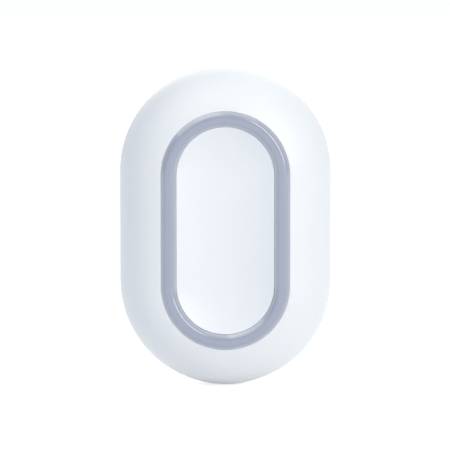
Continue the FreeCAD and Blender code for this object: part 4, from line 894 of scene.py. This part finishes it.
def make_screws():
    seat = SCREW_FACE + SCREW_HEAD_HEIGHT
    flat = SCREW_HEAD_RADIUS - SCREW_HEAD_ROUND
    profile = [(0.0, SCREW_FACE)]
    profile += arc((flat, SCREW_FACE + SCREW_HEAD_ROUND), SCREW_HEAD_ROUND, -90, 0, steps=8)
    profile += [(SCREW_HEAD_RADIUS, seat), (0.0, seat)]
    head = sweep("screw_head", profile, circle_stations(steps=SMALL_STEPS), closed=False)
    recess_end = SCREW_FACE + RECESS_DEPTH
    for length, width in ((RECESS_LENGTH, RECESS_WIDTH), (RECESS_WIDTH, RECESS_LENGTH)):
        recess = prism("recess", rectangle(length, width), SCREW_FACE - EDGE_ROUND, recess_end)
        combine(head, recess, "DIFFERENCE")
    screws = make_thread()
    combine(screws, head, "UNION")
    copy_to(screws, SCREW_PLACES, SCREW_TURNS)
    return screws


# How each remade piece is made, its body, its slot, its finish and the node that it stands in for.
REMADE_PIECES = [
    (make_front_shell, "case", "case_white", CASE_WHITE, "front_shell"),
    (make_light_ring, "case", "ring_grey", RING_GREY, "light_ring"),
    (make_button_cap, "button", "button_white", BUTTON_WHITE, "button_cap"),
    (make_rear_cover, "case", "case_white", CASE_WHITE, "rear_cover"),
    (make_battery_door, "door", "case_white", CASE_WHITE, "battery_door"),
    (make_screws, "case", "screw_steel", SCREW_STEEL, "case_screws"),
]
for make, body, slot, finish, replaced in REMADE_PIECES:
    fit_piece(make(), body, finish, replaced)

# The nodes that are shown as they are, under the finish of each.
NODE_FINISHES = {
    SEAL_RUBBER: ["case_seal", "button_gasket", "door_seal"],
    BOARD_GREEN: ["circuit_board"],
    CHIP_BLACK: ["main_chip"],
    CAN_TIN: ["radio_can", "crystal", "antenna_strip", "upper_switch_plate", "lower_switch_plate"],
    HOLDER_BLACK: ["battery_holder", "upper_switch_base", "lower_switch_base", "upper_switch_plunger",
                   "lower_switch_plunger"],
    CONTACT_STEEL: ["positive_contact", "negative_contact", "upper_switch_dome", "lower_switch_dome"],
    CELL_STEEL: ["coin_cell"],
    LED_WHITE: ["upper_right_led", "upper_left_led", "lower_right_led", "lower_left_led"],
}
for finish, names in NODE_FINISHES.items():
    for name in names:
        nodes[name].data.materials.clear()
        nodes[name].data.materials.append(finish)


# Floor, light and camera

FLOOR_REACH = 3.0
FLOOR_THICKNESS = 0.01
FLOOR_TONE = (0.86, 0.86, 0.86)
FLOOR_GLOW = 0.053              # light that the floor gives the object, as a light table does
FLOOR_GLOW_SEEN = 0.64
SKY_TINT = (0.66, 0.81, 1.0)
SKY_STRENGTH = 0.421
LAMP_TINT = (1.0, 0.965, 0.875)
LAMPS = {                       # place, length, width and power of each
    "soft_box": ((0.66, -0.81, 0.436), 0.9, 0.5, 5.98),
    "overhead": ((0.0, 0.0, 1.1), 1.4, 1.2, 3.65),
    "upper_fill": ((-0.5, -0.6, 0.9), 1.0, 0.8, 3.16),
    "back_box": ((0.0, 1.05, 0.55), 1.0, 0.8, 3.4),
}
CAMERA_AIM_X = -0.077 * MM
CAMERA_AIM_Z = 0.453 * MM
CAMERA_ELEVATION = 5.93
CAMERA_DISTANCE = 0.622
CAMERA_LENS = 264.2


def seen_directly(tree):
    # 1 where the camera looks at a surface itself, or sees it in a glossy or a clear one.
    path = add_node(tree, "ShaderNodeLightPath").outputs
    mirrored = math_node(tree, "MAXIMUM", path["Is Glossy Ray"], path["Is Transmission Ray"])
    return math_node(tree, "MAXIMUM", path["Is Camera Ray"], mirrored)


def make_floor():
    # A slab drawn upright and laid down, with its top at the object's lowest point.
    low = CAD_BOX[0].z
    floor = prism("floor", rectangle(2 * FLOOR_REACH, 2 * FLOOR_REACH), 0.0, FLOOR_THICKNESS)
    for vertex in floor.data.vertices:
        x, y, z = vertex.co
        vertex.co = (x, z, low if y < 0 else low - FLOOR_THICKNESS)
    material, tree, shader = new_material("floor_pale", roughness=0.9, base_color=(*FLOOR_TONE, 1.0))
    glow = add_node(tree, "ShaderNodeEmission")
    tree.links.new(spread(tree, seen_directly(tree), FLOOR_GLOW, FLOOR_GLOW_SEEN), glow.inputs["Strength"])
    both = add_node(tree, "ShaderNodeAddShader")
    tree.links.new(shader.outputs["BSDF"], both.inputs[0])
    tree.links.new(glow.outputs["Emission"], both.inputs[1])
    tree.links.new(both.outputs["Shader"], tree.nodes["Material Output"].inputs["Surface"])
    floor.data.materials.append(material)


def make_world():
    world = bpy.data.worlds.new("studio")
    bpy.context.scene.world = world
    world.use_nodes = True
    tree = world.node_tree
    tree.nodes.clear()
    light = add_node(tree, "ShaderNodeBackground", {"Color": (*SKY_TINT, 1.0), "Strength": SKY_STRENGTH})
    seen = add_node(tree, "ShaderNodeBackground", {"Color": (1.0, 1.0, 1.0, 1.0), "Strength": 1.0})
    mix = add_node(tree, "ShaderNodeMixShader")
    output = add_node(tree, "ShaderNodeOutputWorld")
    tree.links.new(seen_directly(tree), mix.inputs["Fac"])
    tree.links.new(light.outputs["Background"], mix.inputs[1])
    tree.links.new(seen.outputs["Background"], mix.inputs[2])
    tree.links.new(mix.outputs["Shader"], output.inputs["Surface"])


def add_lamp(name, place, length, width, power):
    # A soft box that looks at the object. Its length lies across the way from the object's axis to it.
    lamp = bpy.data.lights.new(name, "AREA")
    lamp.shape = "RECTANGLE"
    lamp.size = length
    lamp.size_y = width
    lamp.energy = power
    lamp.color = LAMP_TINT
    away = Vector(place).normalized()
    along = Vector((-away.z, 0.0, away.x)).normalized()
    turned = Matrix((along, away.cross(along), away)).transposed()
    holder = bpy.data.objects.new(name, lamp)
    holder.matrix_world = Matrix.Translation(place) @ turned.to_4x4()
    bpy.context.collection.objects.link(holder)


def make_camera():
    middle = Vector((CAMERA_AIM_X, -RING_TOP / 2, CAMERA_AIM_Z))
    elevation = math.radians(CAMERA_ELEVATION)
    back = Vector((0.0, -math.cos(elevation), math.sin(elevation)))
    camera = bpy.data.cameras.new("camera")
    camera.sensor_width = 36.0
    camera.lens = CAMERA_LENS
    holder = bpy.data.objects.new("camera", camera)
    holder.location = middle + back * CAMERA_DISTANCE
    holder.rotation_euler = (-back).to_track_quat("-Z", "Y").to_euler()
    bpy.context.collection.objects.link(holder)
    bpy.context.scene.camera = holder


make_floor()
make_world()
for name, (place, length, width, power) in LAMPS.items():
    add_lamp(name, place, length, width, power)
make_camera()
bpy.context.scene.view_settings.view_transform = "Standard"
